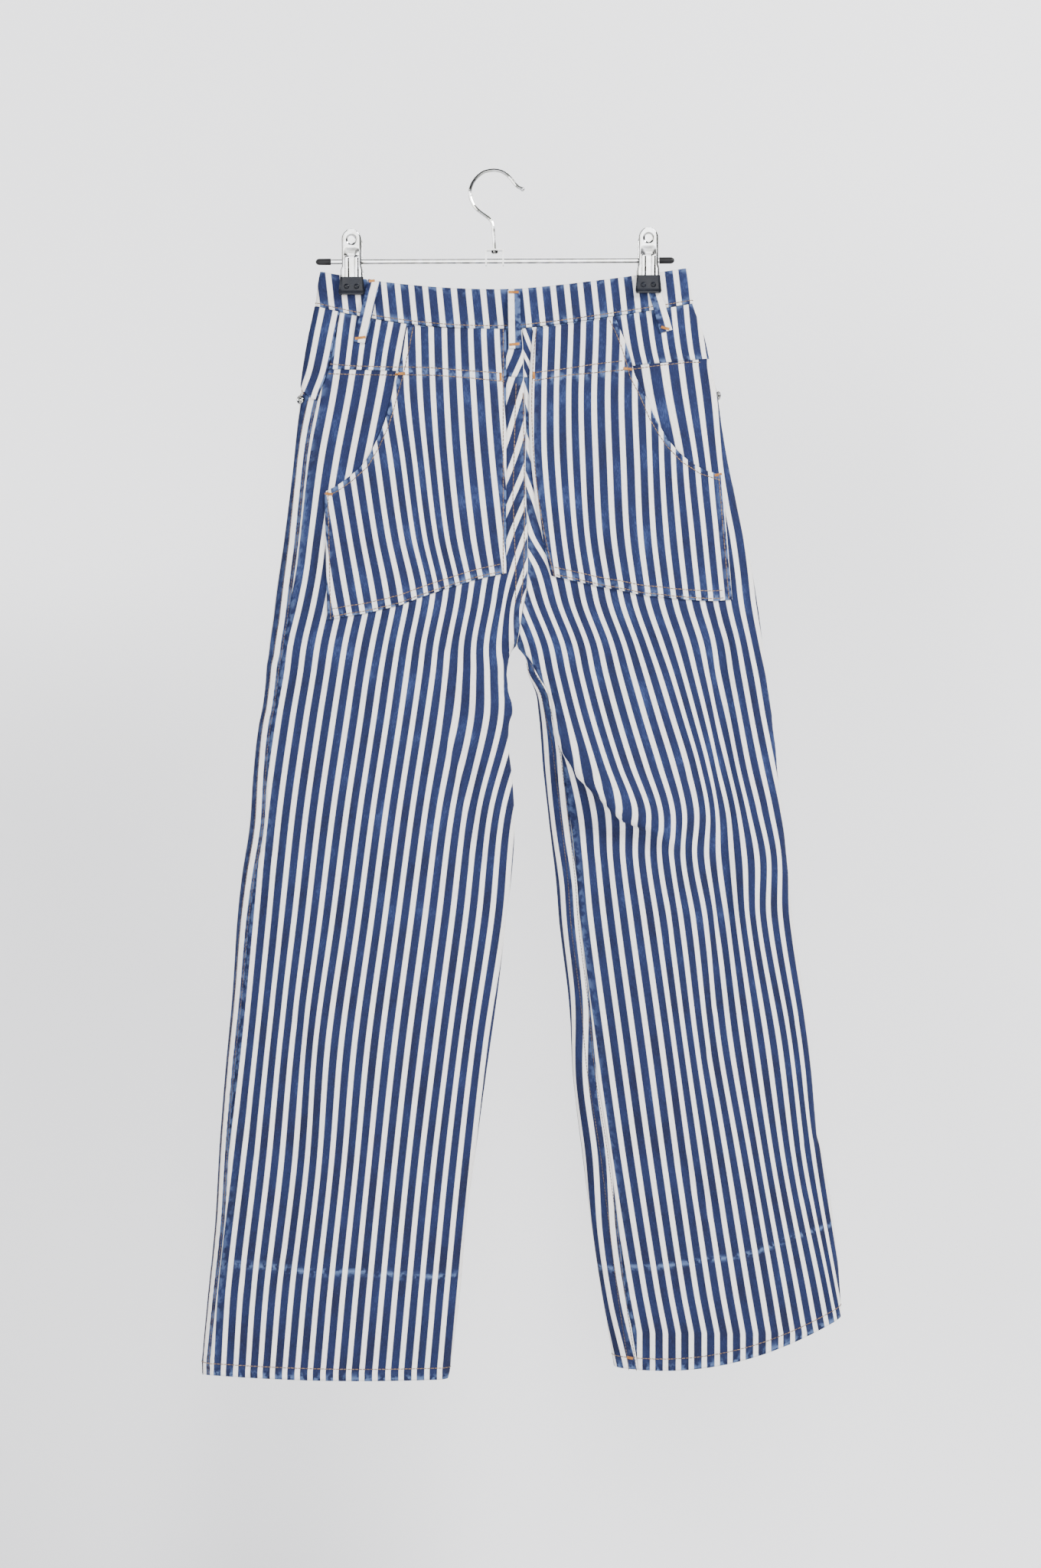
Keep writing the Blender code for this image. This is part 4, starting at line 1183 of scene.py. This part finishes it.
thread, place = placed_group("twisted_thread")
strand = put(thread, "TexNoise", place, None, 2400.0, 2.0, 0.5)
spotted = put(thread, "TexNoise", place, None, 130.0, 2.0, 0.5)
spots = step_between(thread, spotted, 0.35, 0.65)
tan = mixed(thread, spots, (0.085, 0.052, 0.032), (0.19, 0.115, 0.06))
give(thread, tan, step_between(thread, strand, 0.3, 0.7, 0.6, 0.8), strand)
dark_thread = thread.copy()
dark_thread.name = "browner_thread"
orange_thread = thread.copy()
orange_thread.name = "orange_thread"
for tree, low, high in (
    (dark_thread, (0.030, 0.022, 0.024), (0.085, 0.056, 0.042)),
    (orange_thread, (0.26, 0.095, 0.010), (0.38, 0.155, 0.022)),
):
    mix = next(n for n in tree.nodes if n.bl_idname == "ShaderNodeMix")
    mix.inputs[6].default_value = (*low, 1)
    mix.inputs[7].default_value = (*high, 1)


def object_feeds(tree):
    """The place on the object, for a group that asks for it."""
    place = tree.nodes.new("ShaderNodeTexCoord").outputs["Object"]
    parts = tree.nodes.new("ShaderNodeSeparateXYZ")
    tree.links.new(place, parts.inputs[0])
    return {"X": parts.outputs[0], "Y": parts.outputs[1], "Z": parts.outputs[2]}


tan_cotton = finished_material("tan_topstitch", thread, object_feeds, 0.4, 0.0002)
brown_cotton = finished_material("brown_topstitch", dark_thread, object_feeds, 0.4, 0.0002)
orange_cotton = finished_material("orange_bar_tack", orange_thread, object_feeds, 0.4, 0.0002)


def edge_row(key, front, inset, from_end=False, across=False, first=0.0, last=1.0):
    """A line on a sheet at a distance from one of its edges, with the normals along it."""
    points = grids[key]
    normal = outward(points, front)
    if across:
        points, normal = points.transpose(1, 0, 2), normal.transpose(1, 0, 2)
    step = np.linalg.norm(np.diff(points, axis=1, prepend=points[:, :1]), axis=-1)
    run = np.cumsum(step, axis=1)
    line, facing = [], []
    low, high = int(first * (len(points) - 1)), int(last * (len(points) - 1))
    for r in range(low, high + 1):
        at = run[r, -1] - inset if from_end else inset
        line.append([np.interp(at, run[r], points[r, :, k]) for k in range(3)])
        facing.append([np.interp(at, run[r], normal[r, :, k]) for k in range(3)])
    return np.array(line), np.array(facing)


def draped_row(cover, path, way=1):
    """A line given by x and z, laid on the outside of what a cover holds."""
    path = np.array(path, float)
    run = run_along(path)
    at = np.linspace(0, run[-1], int(run[-1] / 1.5) + 2)
    x, z = np.interp(at, run, path[:, 0]), np.interp(at, run, path[:, 1])
    line, facing = [], []
    for px, pz in zip(x, z):
        hit, normal, _, _ = cover.ray_cast(Vector((px, -FAR * way, pz)), Vector((0, way, 0)))
        if hit is not None:
            line.append(hit[:])
            facing.append((normal if normal.y * way < 0 else -normal)[:])
    return np.array(line), np.array(facing)


def thread_run(name, rows, material, pitch=STITCH_PITCH, sideways=False, scale=1.0):
    """All the stitches of some rows as one mesh. Sideways stitches make a bar tack."""
    corners, faces = [], []
    for line, facing in rows:
        if len(line) < 3:
            continue
        run = run_along(line)
        for start in np.arange(0, run[-1] - 0.5 * pitch, pitch):
            centre, ahead, normal = (
                np.array([np.interp(start + d, run, data[:, k]) for k in range(3)])
                for d, data in ((pitch / 2, line), (pitch, line), (pitch / 2, facing))
            )
            behind = np.array([np.interp(start, run, line[:, k]) for k in range(3)])
            z_axis = ahead - behind
            z_axis /= np.linalg.norm(z_axis) + 1e-9
            y_axis = normal / (np.linalg.norm(normal) + 1e-9)
            x_axis = np.cross(y_axis, z_axis)
            if sideways:
                z_axis, x_axis = x_axis, -z_axis
            lean = 0.06 * math.sin(7.1 * start)
            z_axis = z_axis + lean * x_axis
            base = len(corners)
            local = stitch_points * scale
            placed = centre + y_axis * 0.12
            corners += list(
                placed + local[:, :1] * x_axis + local[:, 1:2] * y_axis + local[:, 2:3] * z_axis
            )
            faces += [tuple(base + v for v in face) for face in stitch_faces]
    mesh = bpy.data.meshes.new(name)
    mesh.from_pydata([Vector(c) * MM for c in corners], [], faces)
    mesh.shade_smooth()
    mesh.materials.append(material)
    piece = bpy.data.objects.new(name, mesh)
    bpy.context.scene.collection.objects.link(piece)
    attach(piece, "root")
    return piece


leg_rows = []
hem_rows = []
for name in ("left", "right"):
    for inset, from_end, first in (
        (1.3, False, 0.085),
        (9.0, False, 0.085),
        (1.3, True, 0.33),
        (8.3, True, 0.33),
    ):
        leg_rows.append(edge_row(f"front_{name}", True, inset, from_end, first=first))
    hem_rows.append(edge_row(f"front_{name}", True, 11.0, from_end=True, across=True))
    hem_rows.append(edge_row(f"back_{name}", False, 11.0, from_end=True, across=True))
thread_run("leg_seam_stitches", leg_rows, brown_cotton, 2.9, scale=0.8)
thread_run("hem_stitches", hem_rows, tan_cotton)

top_rows = [edge_row("band", False, 2.8, from_end=True, across=True)]
for name in ("left", "right"):
    for inset in (2.0, 8.0):
        top_rows.append(edge_row(f"front_{name}", True, inset, last=0.078))
thread_run("waistband_and_mouth_stitches", top_rows, tan_cotton)

seat_cover = cover_of("back_left", "back_right", "yoke_left", "yoke_right", "patch_left", "patch_right")
YOKE_ROWS = (
    ((-152.8, -178.1), (-130.2, -180.2), (-91.5, -181.6), (-59.8, -182.3), (-3.5, -186.6), (9.2, -187.3)),
    ((-152.8, -187.3), (-116.2, -188.7), (-52.8, -189.4), (-24.6, -191.5), (9.2, -195.0)),
    ((38.7, -186.6), (66.9, -183.0), (95.0, -178.8), (119.7, -176.0)),
    ((36.6, -194.3), (66.9, -189.4), (123.2, -184.4), (151.4, -180.2), (179.5, -176.7), (190.1, -176.7)),
    ((20.5, -196.4), (17.6, -302.0), (20.4, -372.4), (20.0, -400.0)),
    ((27.0, -205.0), (28.2, -267.0), (28.2, -340.0), (27.5, -370.0), (25.0, -401.0)),
)
seat_rows = [draped_row(seat_cover, path) for path in YOKE_ROWS]
for name in ("left", "right"):
    key = f"patch_{name}"
    seat_rows.append(edge_row(key, False, 2.8))
    seat_rows.append(edge_row(key, False, 3.2, from_end=True))
    for inset in (2.2, 9.2):
        seat_rows.append(edge_row(key, False, inset, from_end=True, across=True, first=0.015, last=0.985))
for table, side in ((LEFT_POCKET, 1), (RIGHT_POCKET, -1)):
    curve = np.array([(row[1], row[2]) for row in table if row[0] >= 4], float)
    tangent = np.gradient(curve, axis=0)
    tangent /= np.linalg.norm(tangent, axis=1, keepdims=True)
    inward = np.stack([-tangent[:, 1] * side, tangent[:, 0] * side], axis=-1)
    inward *= np.sign((inward * (side, -1)).sum(axis=1, keepdims=True))
    seat_rows.append(draped_row(seat_cover, curve + 4.9 * inward))
thread_run("seat_and_patch_stitches", seat_rows, tan_cotton)

FLY_ROWS = (
    ((-9.0, -148.0), (-7.0, -200.0), (-5.0, -240.0), (2.0, -264.0), (14.0, -280.0), (26.0, -287.0)),
    ((-4.0, -148.0), (-2.0, -200.0), (0.0, -238.0), (6.0, -259.0), (16.0, -273.0), (26.0, -279.0)),
    ((24.5, -148.0), (25.0, -200.0), (26.5, -260.0), (28.0, -340.0), (26.0, -400.0)),
)
fly_cover = cover_of("front_left", "front_right")
thread_run("fly_stitches", [draped_row(fly_cover, path, -1) for path in FLY_ROWS], tan_cotton)

TACKS = (
    # x, z of the middle, run in x, run in z
    (-85.9, -188.0, 9.5, 0.6),
    (123.9, -183.7, 9.5, -1.2),
    (6.3, -190.8, 0.3, -7.0),
    (36.8, -189.4, 0.3, -7.0),
    (-152.1, -298.5, 7.5, -1.0),
    (206.5, -280.6, 6.5, 1.5),
    (-109.8, -101.7, 10.5, 1.5),
    (-123.0, -154.5, 9.5, 1.2),
    (18.3, -112.5, 9.5, 0.0),
    (18.8, -160.5, 9.0, 0.8),
    (158.0, -145.5, 8.0, -2.0),
    (-151.4, -183.0, 5.0, 0.4),
    (125.3, -1093.0, 5.5, -1.0),
)
tack_cover = cover_of(
    "back_left",
    "back_right",
    "front_right",
    "yoke_left",
    "yoke_right",
    "patch_left",
    "patch_right",
    "band",
    "loop_back_left",
    "loop_back_centre",
    "loop_back_right",
)
tack_rows = [
    draped_row(tack_cover, ((x - dx / 2, z - dz / 2), (x + dx / 2, z + dz / 2)))
    for x, z, dx, dz in TACKS
]
front_loops = cover_of("loop_front_left", "loop_front_right")
for x, z in ((-82.0, -107.0), (-84.0, -156.0), (118.0, -101.0), (120.0, -149.0)):
    tack_rows.append(draped_row(front_loops, ((x - 5, z), (x + 5, z)), -1))
thread_run("bar_tacks", tack_rows, orange_cotton, 0.62, sideways=True, scale=0.85)


# --- Hanger metal ---
# A zinc-plated steel bar and a hook of bent wire, with fine drawing marks and dull spots. The
# hook's stem is riveted through a pressed saddle on the bar, and its other end is a small ball.
BALL_R = 2.1
BALL_NECK = 1.2
BALL_X = 26.4
BALL_Z = -16.0
plated, place = placed_group("bright_zinc_plating")
drawn = put(plated, "TexNoise", place, None, 900.0, 2.0, 0.5)
clouded = put(plated, "TexNoise", place, None, 140.0, 3.0, 0.5)
dull_share = step_between(plated, clouded, 0.40, 0.62)
silvery = mixed(plated, dull_share, (0.36, 0.36, 0.34), (0.48, 0.485, 0.49))
give(plated, silvery, step_between(plated, clouded, 0.3, 0.7, 0.10, 0.18), drawn)
zinc = finished_material("bright_zinc_metal", plated, object_feeds, 0.03, 0.0002, Metallic=1.0)


def dressed(nodes, material):
    """Gives a material to nodes that are kept as the source has them."""
    for node in nodes:
        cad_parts[node].data.materials.clear()
        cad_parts[node].data.materials.append(material)


dressed(["hanger_bar", "hanger_hook", "hanger_saddle", "swivel_rivet"], zinc)
dressed(["clip_spring_left", "clip_spring_right"], zinc)

hook_low, hook_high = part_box("hanger_hook")
sphere_add = bpy.ops.mesh.primitive_uv_sphere_add
ball = begun("hook_ball", sphere_add, segments=24, ring_count=16, radius=BALL_R * MM)
choose_faces(ball, lambda face: face.center.z > 0.9 * BALL_R * MM)
bpy.ops.mesh.extrude_region_move(TRANSFORM_OT_translate={"value": (0, 0, BALL_NECK * MM)})
bpy.ops.object.mode_set(mode="OBJECT")
ball.rotation_euler = (0, math.radians(-52), 0)
ball.location = (BALL_X * MM, (hook_low.y + hook_high.y) / 2, BALL_Z * MM)
bpy.ops.object.transform_apply(location=True, rotation=True, scale=True)
ball.data.shade_smooth()
ball.data.materials.append(zinc)
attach(ball, "root")


# --- Clips ---
# Pressed sheet-steel plates, two to a clip, with a round dimple at the thumb, two pressed
# ribs below the bar and turned-in edges. Each slides on the bar and is closed by its spring.
PLATE_HALF = 9.0
PLATE_THICK = 0.8
PLATE_COLUMNS = 45
PLATE_ROWS = 91
FOOT_FLARE = 1.2
RIM = 1.6
RIM_IN = 1.3
DISH_R = 5.0
DISH_DEEP = 0.9
DISH_DOWN = 9.6
RIB_X = 4.4
RIB_HALF = 1.9
RIB_TOP = 18.5
RIB_HIGH = 0.7
HOLLOW_AT = 24.0
HOLLOW_DEEP = 1.3
for name in ("left", "right"):
    for face, side in (("back", -1), ("front", 1)):
        low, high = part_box(f"clip_plate_{name}_{face}")
        low, high = low / MM, high / MM
        middle = (low.x + high.x) / 2
        foot_y = high.y if side < 0 else low.y
        head_y = low.y if side < 0 else high.y
        plate = begun(
            f"clip_plate_pressed_{name}_{face}",
            bpy.ops.mesh.primitive_grid_add,
            x_subdivisions=PLATE_COLUMNS - 1,
            y_subdivisions=PLATE_ROWS - 1,
            size=1,
        )
        tall = high.z - low.z
        u = np.linspace(-1, 1, PLATE_COLUMNS)[None, :]
        v = np.linspace(0, 1, PLATE_ROWS)[:, None] * tall
        wide = PLATE_HALF + FOOT_FLARE * np.clip((11.0 - v) / 3.0, 0, 1)
        top = np.clip(v - (tall - PLATE_HALF), 0, PLATE_HALF)
        wide = np.maximum(0.25, wide * np.sqrt(np.maximum(0.0, 1 - (top / PLATE_HALF) ** 2)))
        x = u * wide
        rim = np.clip((np.abs(x) - wide + RIM) / RIM, 0, 1) * (v < tall - 1)
        press = -RIM_IN * rim**2
        ring = np.hypot(x, v - (tall - DISH_DOWN))
        press = press - DISH_DEEP * eased((DISH_R - ring) / 1.3)
        for rib in (-RIB_X, RIB_X):
            reach = np.hypot(x - rib, np.maximum(0, v - RIB_TOP))
            press = press + RIB_HIGH * eased((RIB_HALF - reach) / 0.6)
        hollow = np.exp(-(((v - HOLLOW_AT) / 3.6) ** 4)) * np.exp(-((x / 6.2) ** 4))
        press = press - HOLLOW_DEEP * hollow * np.clip((29.0 - v) / 9.0, 0, 1)
        y = foot_y + (head_y - foot_y) * v / tall + side * (press - 0.2) + 0 * x
        points = np.stack([middle + x, y, low.z + v + 0 * x], axis=-1)
        plate.data.vertices.foreach_set("co", (points.reshape(-1, 3) * MM).ravel())
        plate.data.update()
        if plate.data.polygons[len(plate.data.polygons) // 2].normal.y * side < 0:
            plate.data.flip_normals()
        plate.data.shade_smooth()
        wall = plate.modifiers.new("sheet", "SOLIDIFY")
        wall.thickness = PLATE_THICK * MM
        wall.offset = -1
        bpy.ops.object.modifier_apply(modifier="sheet")
        plate.data.materials.append(zinc)
        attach(plate, "root")
        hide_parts(f"clip_plate_{name}_{face}")


# --- Clip tips ---
# Smoky clear vinyl sleeves dipped over the foot of each plate, with a thick lower lip and
# two round studs that grip the cloth.
SLEEVE_OVER = 1.6
LIP = 1.0
PINCH = 0.6
STUD_X = 4.6
STUD_UP = 7.8
STUD_R = 2.5
STUD_SUNK = 0.4
SLEEVE_ROUND = 0.7
smoky, place = placed_group("smoky_vinyl")
cloud = put(smoky, "TexNoise", place, None, 90.0, 2.0, 0.5)
murk = mixed(smoky, cloud, (0.002, 0.0022, 0.003), (0.012, 0.014, 0.020))
give(smoky, murk, step_between(smoky, cloud, 0.3, 0.7, 0.12, 0.30), cloud)
vinyl = finished_material(
    "smoky_vinyl_skin", smoky, object_feeds, 0.03, 0.0003, Specular_IOR_Level=0.14
)
for name in ("left", "right"):
    for face, side in (("back", -1), ("front", 1)):
        low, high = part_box(f"clip_tip_{name}_{face}")
        middle = (low + high) / 2
        size = high - low
        cube_add = bpy.ops.mesh.primitive_cube_add
        tip = begun(f"clip_sleeve_{name}_{face}", cube_add, size=1, location=middle)
        tip.scale = size
        bpy.ops.object.transform_apply(location=True, rotation=True, scale=True)
        bpy.ops.object.mode_set(mode="EDIT")
        bpy.ops.mesh.select_all(action="SELECT")
        bpy.ops.mesh.subdivide(number_cuts=7)
        bpy.ops.object.mode_set(mode="OBJECT")
        for vertex in tip.data.vertices:
            share = (vertex.co.z - low.z) / size.z
            outer = (vertex.co.y - middle.y) * side > 0
            corner = max(0.0, 0.16 - share) / 0.16
            taper = 0.90 + 0.14 * (1 - share) - 0.10 * corner**2
            vertex.co.x = middle.x + (vertex.co.x - middle.x) * taper
            vertex.co.z += SLEEVE_OVER * share * MM
            if outer:
                lip = LIP * math.exp(-((share / 0.16) ** 2))
                pinch = PINCH * math.exp(-(((share - 0.32) / 0.12) ** 2))
                vertex.co.y += side * (lip - pinch) * MM
        rounded = tip.modifiers.new("soft", "BEVEL")
        rounded.width = SLEEVE_ROUND * MM
        rounded.segments = 2
        rounded.limit_method = "ANGLE"
        bpy.ops.object.modifier_apply(modifier="soft")
        outer_y = middle.y + side * (size.y / 2)
        for stud_x in (-STUD_X, STUD_X):
            stud = begun(
                "stud",
                sphere_add,
                segments=20,
                ring_count=10,
                radius=STUD_R * MM,
                location=(middle.x + stud_x * MM, outer_y - side * STUD_SUNK * MM, low.z + STUD_UP * MM),
            )
            stud.scale = (1, 0.55, 1)
            bpy.ops.object.transform_apply(location=True, rotation=True, scale=True)
            stud.select_set(True)
            tip.select_set(True)
            bpy.context.view_layer.objects.active = tip
            bpy.ops.object.join()
            bpy.ops.object.select_all(action="DESELECT")
            bpy.context.view_layer.objects.active = tip
        tip.data.shade_smooth()
        tip.data.materials.clear()
        tip.data.materials.append(vinyl)
        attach(tip, "root")
        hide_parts(f"clip_tip_{name}_{face}")


# --- Rivets and button ---
# Dull nickel-plated rivets at the ends of the front pockets' mouths, each a cap pressed over
# a burr that shows in its middle, and a shank button at the front waist.
nickel = finished_material("dull_nickel_metal", plated, object_feeds, 0.1, 0.0002, Metallic=1.0)
dressed(["rivet_left_waist", "rivet_right_waist", "waist_button"], nickel)

RIVET_FORM = (
    # radius, height of each turned step, from the rim to the burr in the middle
    (4.2, 0.0),
    (4.2, 0.7),
    (3.7, 1.3),
    (2.9, 1.3),
    (2.4, 0.7),
    (1.7, 0.7),
    (1.3, 1.4),
    (0.5, 1.7),
)
RIVET_PROUD = 0.4
circle_add = bpy.ops.mesh.primitive_circle_add
capped = begun("rivet_cap", circle_add, vertices=28, radius=RIVET_FORM[0][0] * MM)
bpy.ops.object.mode_set(mode="EDIT")
bpy.ops.mesh.select_mode(type="VERT")
bpy.ops.mesh.select_all(action="SELECT")
for (wide, tall), (next_wide, next_tall) in zip(RIVET_FORM, RIVET_FORM[1:]):
    rise = (0, 0, (next_tall - tall) * MM)
    bpy.ops.mesh.extrude_region_move(TRANSFORM_OT_translate={"value": rise})
    shrink = next_wide / wide
    bpy.ops.transform.resize(value=(shrink, shrink, 1), center_override=(0, 0, next_tall * MM))
bpy.ops.mesh.edge_face_add()
bpy.ops.mesh.select_all(action="SELECT")
bpy.ops.mesh.normals_make_consistent(inside=False)
bpy.ops.object.mode_set(mode="OBJECT")
capped.data.shade_smooth()
capped.data.materials.append(nickel)
for name, facing in (("left", (-0.70, -0.71, 0.0)), ("right", (0.92, 0.38, 0.0))):
    low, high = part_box(f"rivet_{name}_side")
    head = capped.copy()
    head.data = capped.data.copy()
    head.name = head.data.name = f"rivet_burr_{name}"
    bpy.context.scene.collection.objects.link(head)
    bpy.ops.object.select_all(action="DESELECT")
    head.select_set(True)
    bpy.context.view_layer.objects.active = head
    head.rotation_mode = "QUATERNION"
    head.rotation_quaternion = Vector(facing).to_track_quat("Z", "Y")
    head.location = (low + high) / 2 + Vector(facing) * RIVET_PROUD * MM
    bpy.ops.object.transform_apply(location=True, rotation=True, scale=True)
    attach(head, "root")
    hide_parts(f"rivet_{name}_side")
bpy.data.objects.remove(capped)


# --- Rubber caps ---
# Moulded caps of matte black rubber, pushed on the two ends of the bar so that the clips
# can't slide off.
moulded, place = placed_group("moulded_skin")
grain = put(moulded, "TexNoise", place, None, 1600.0, 3.0, 0.5)
soot = mixed(moulded, grain, (0.003, 0.003, 0.0035), (0.008, 0.008, 0.009))
give(moulded, soot, step_between(moulded, grain, 0.3, 0.7, 0.45, 0.65), grain)
rubber = finished_material(
    "black_rubber_skin", moulded, object_feeds, 0.2, 0.0002, Specular_IOR_Level=0.25
)
dressed(["hanger_cap_left", "hanger_cap_right"], rubber)


# --- Studio ---
# A pale floor and a pale wall behind, soft light from the front, and the camera level
# with the middle of the jeans at the distance from which the garment was seen.
FLOOR_DOWN = -1.45
WALL_BEHIND = 0.45
STAGE_WIDE = 9
UPRIGHT = math.radians(90)
paint = bpy.data.materials.new("pale_wall")
paint.use_nodes = True
wall_tree = paint.node_tree
wall_shader = wall_tree.nodes["Principled BSDF"]
wall_shader.inputs["Base Color"].default_value = (0.84, 0.84, 0.85, 1)
wall_shader.inputs["Roughness"].default_value = 0.95
clear = wall_tree.nodes.new("ShaderNodeBsdfTransparent")
facing = wall_tree.nodes.new("ShaderNodeNewGeometry")
choice = wall_tree.nodes.new("ShaderNodeMixShader")
wall_tree.links.new(facing.outputs["Backfacing"], choice.inputs[0])
wall_tree.links.new(wall_shader.outputs[0], choice.inputs[1])
wall_tree.links.new(clear.outputs[0], choice.inputs[2])
wall_tree.links.new(choice.outputs[0], wall_tree.nodes["Material Output"].inputs["Surface"])
for name, location, rotation in (
    ("floor", (0, 0, FLOOR_DOWN), (0, 0, 0)),
    ("backdrop", (0, WALL_BEHIND, 0), (UPRIGHT, 0, 0)),
):
    plane_add = bpy.ops.mesh.primitive_plane_add
    sheet = begun(name, plane_add, size=STAGE_WIDE, location=location, rotation=rotation)
    sheet.data.materials.append(paint)

for name, location, target, size, power in (
    ("key", (2.3, -2.0, 1.5), (0, 0, -0.5), 1.1, 262),
    ("fill", (-1.9, -2.4, -0.2), (0, 0, -0.6), 2.0, 90),
    ("low", (0.2, -2.8, -1.2), (0, 0, -0.8), 1.6, 22),
):
    lamp = bpy.data.lights.new(name, "AREA")
    lamp.shape = "DISK"
    lamp.size = size
    lamp.energy = power
    light = bpy.data.objects.new(name, lamp)
    light.location = location
    light.rotation_euler = (Vector(target) - Vector(location)).to_track_quat("-Z", "Y").to_euler()
    bpy.context.scene.collection.objects.link(light)
world = bpy.data.worlds.new("soft_room")
world.use_nodes = True
room = world.node_tree
sky = put(room, "TexCoord")
parts = room.nodes.new("ShaderNodeSeparateXYZ")
room.links.new(sky.node.outputs["Generated"], parts.inputs[0])
towards = calc(room, "MULTIPLY", parts.outputs[1], -1.0)
front = calc(room, "MULTIPLY", step_between(room, towards, 0.45, 0.95), 0.035)
sideways = calc(room, "ABSOLUTE", parts.outputs[0])
panel_light = calc(room, "MULTIPLY", step_between(room, sideways, 0.10, 0.17, 1.0, 0.0), 0.85)
panel_light = calc(room, "MULTIPLY", panel_light, step_between(room, parts.outputs[2], -0.40, -0.25))
panel_light = calc(room, "MULTIPLY", panel_light, step_between(room, towards, 0.74, 0.86))
glow = calc(room, "ADD", front, panel_light)
lit = mixed(room, glow, (0.03, 0.033, 0.042), (8.6, 8.6, 8.8))
room.links.new(lit, room.nodes["Background"].inputs["Color"])
room.nodes["Background"].inputs["Strength"].default_value = 1.0
bpy.context.scene.world = world

SENSOR_TALL = 36
FRAME_TALL = 1.4418
DISTANCE = 2.8
MIDDLE_X = 0.0246
MIDDLE_Y = -0.012
MIDDLE_Z = -0.5653
lens = bpy.data.cameras.new("camera")
lens.sensor_fit = "VERTICAL"
lens.sensor_height = SENSOR_TALL
lens.lens = SENSOR_TALL * DISTANCE / FRAME_TALL
camera = bpy.data.objects.new("camera", lens)
camera.location = (MIDDLE_X, MIDDLE_Y - DISTANCE, MIDDLE_Z)
camera.rotation_euler = (UPRIGHT, 0, 0)
bpy.context.scene.collection.objects.link(camera)
bpy.context.scene.camera = camera
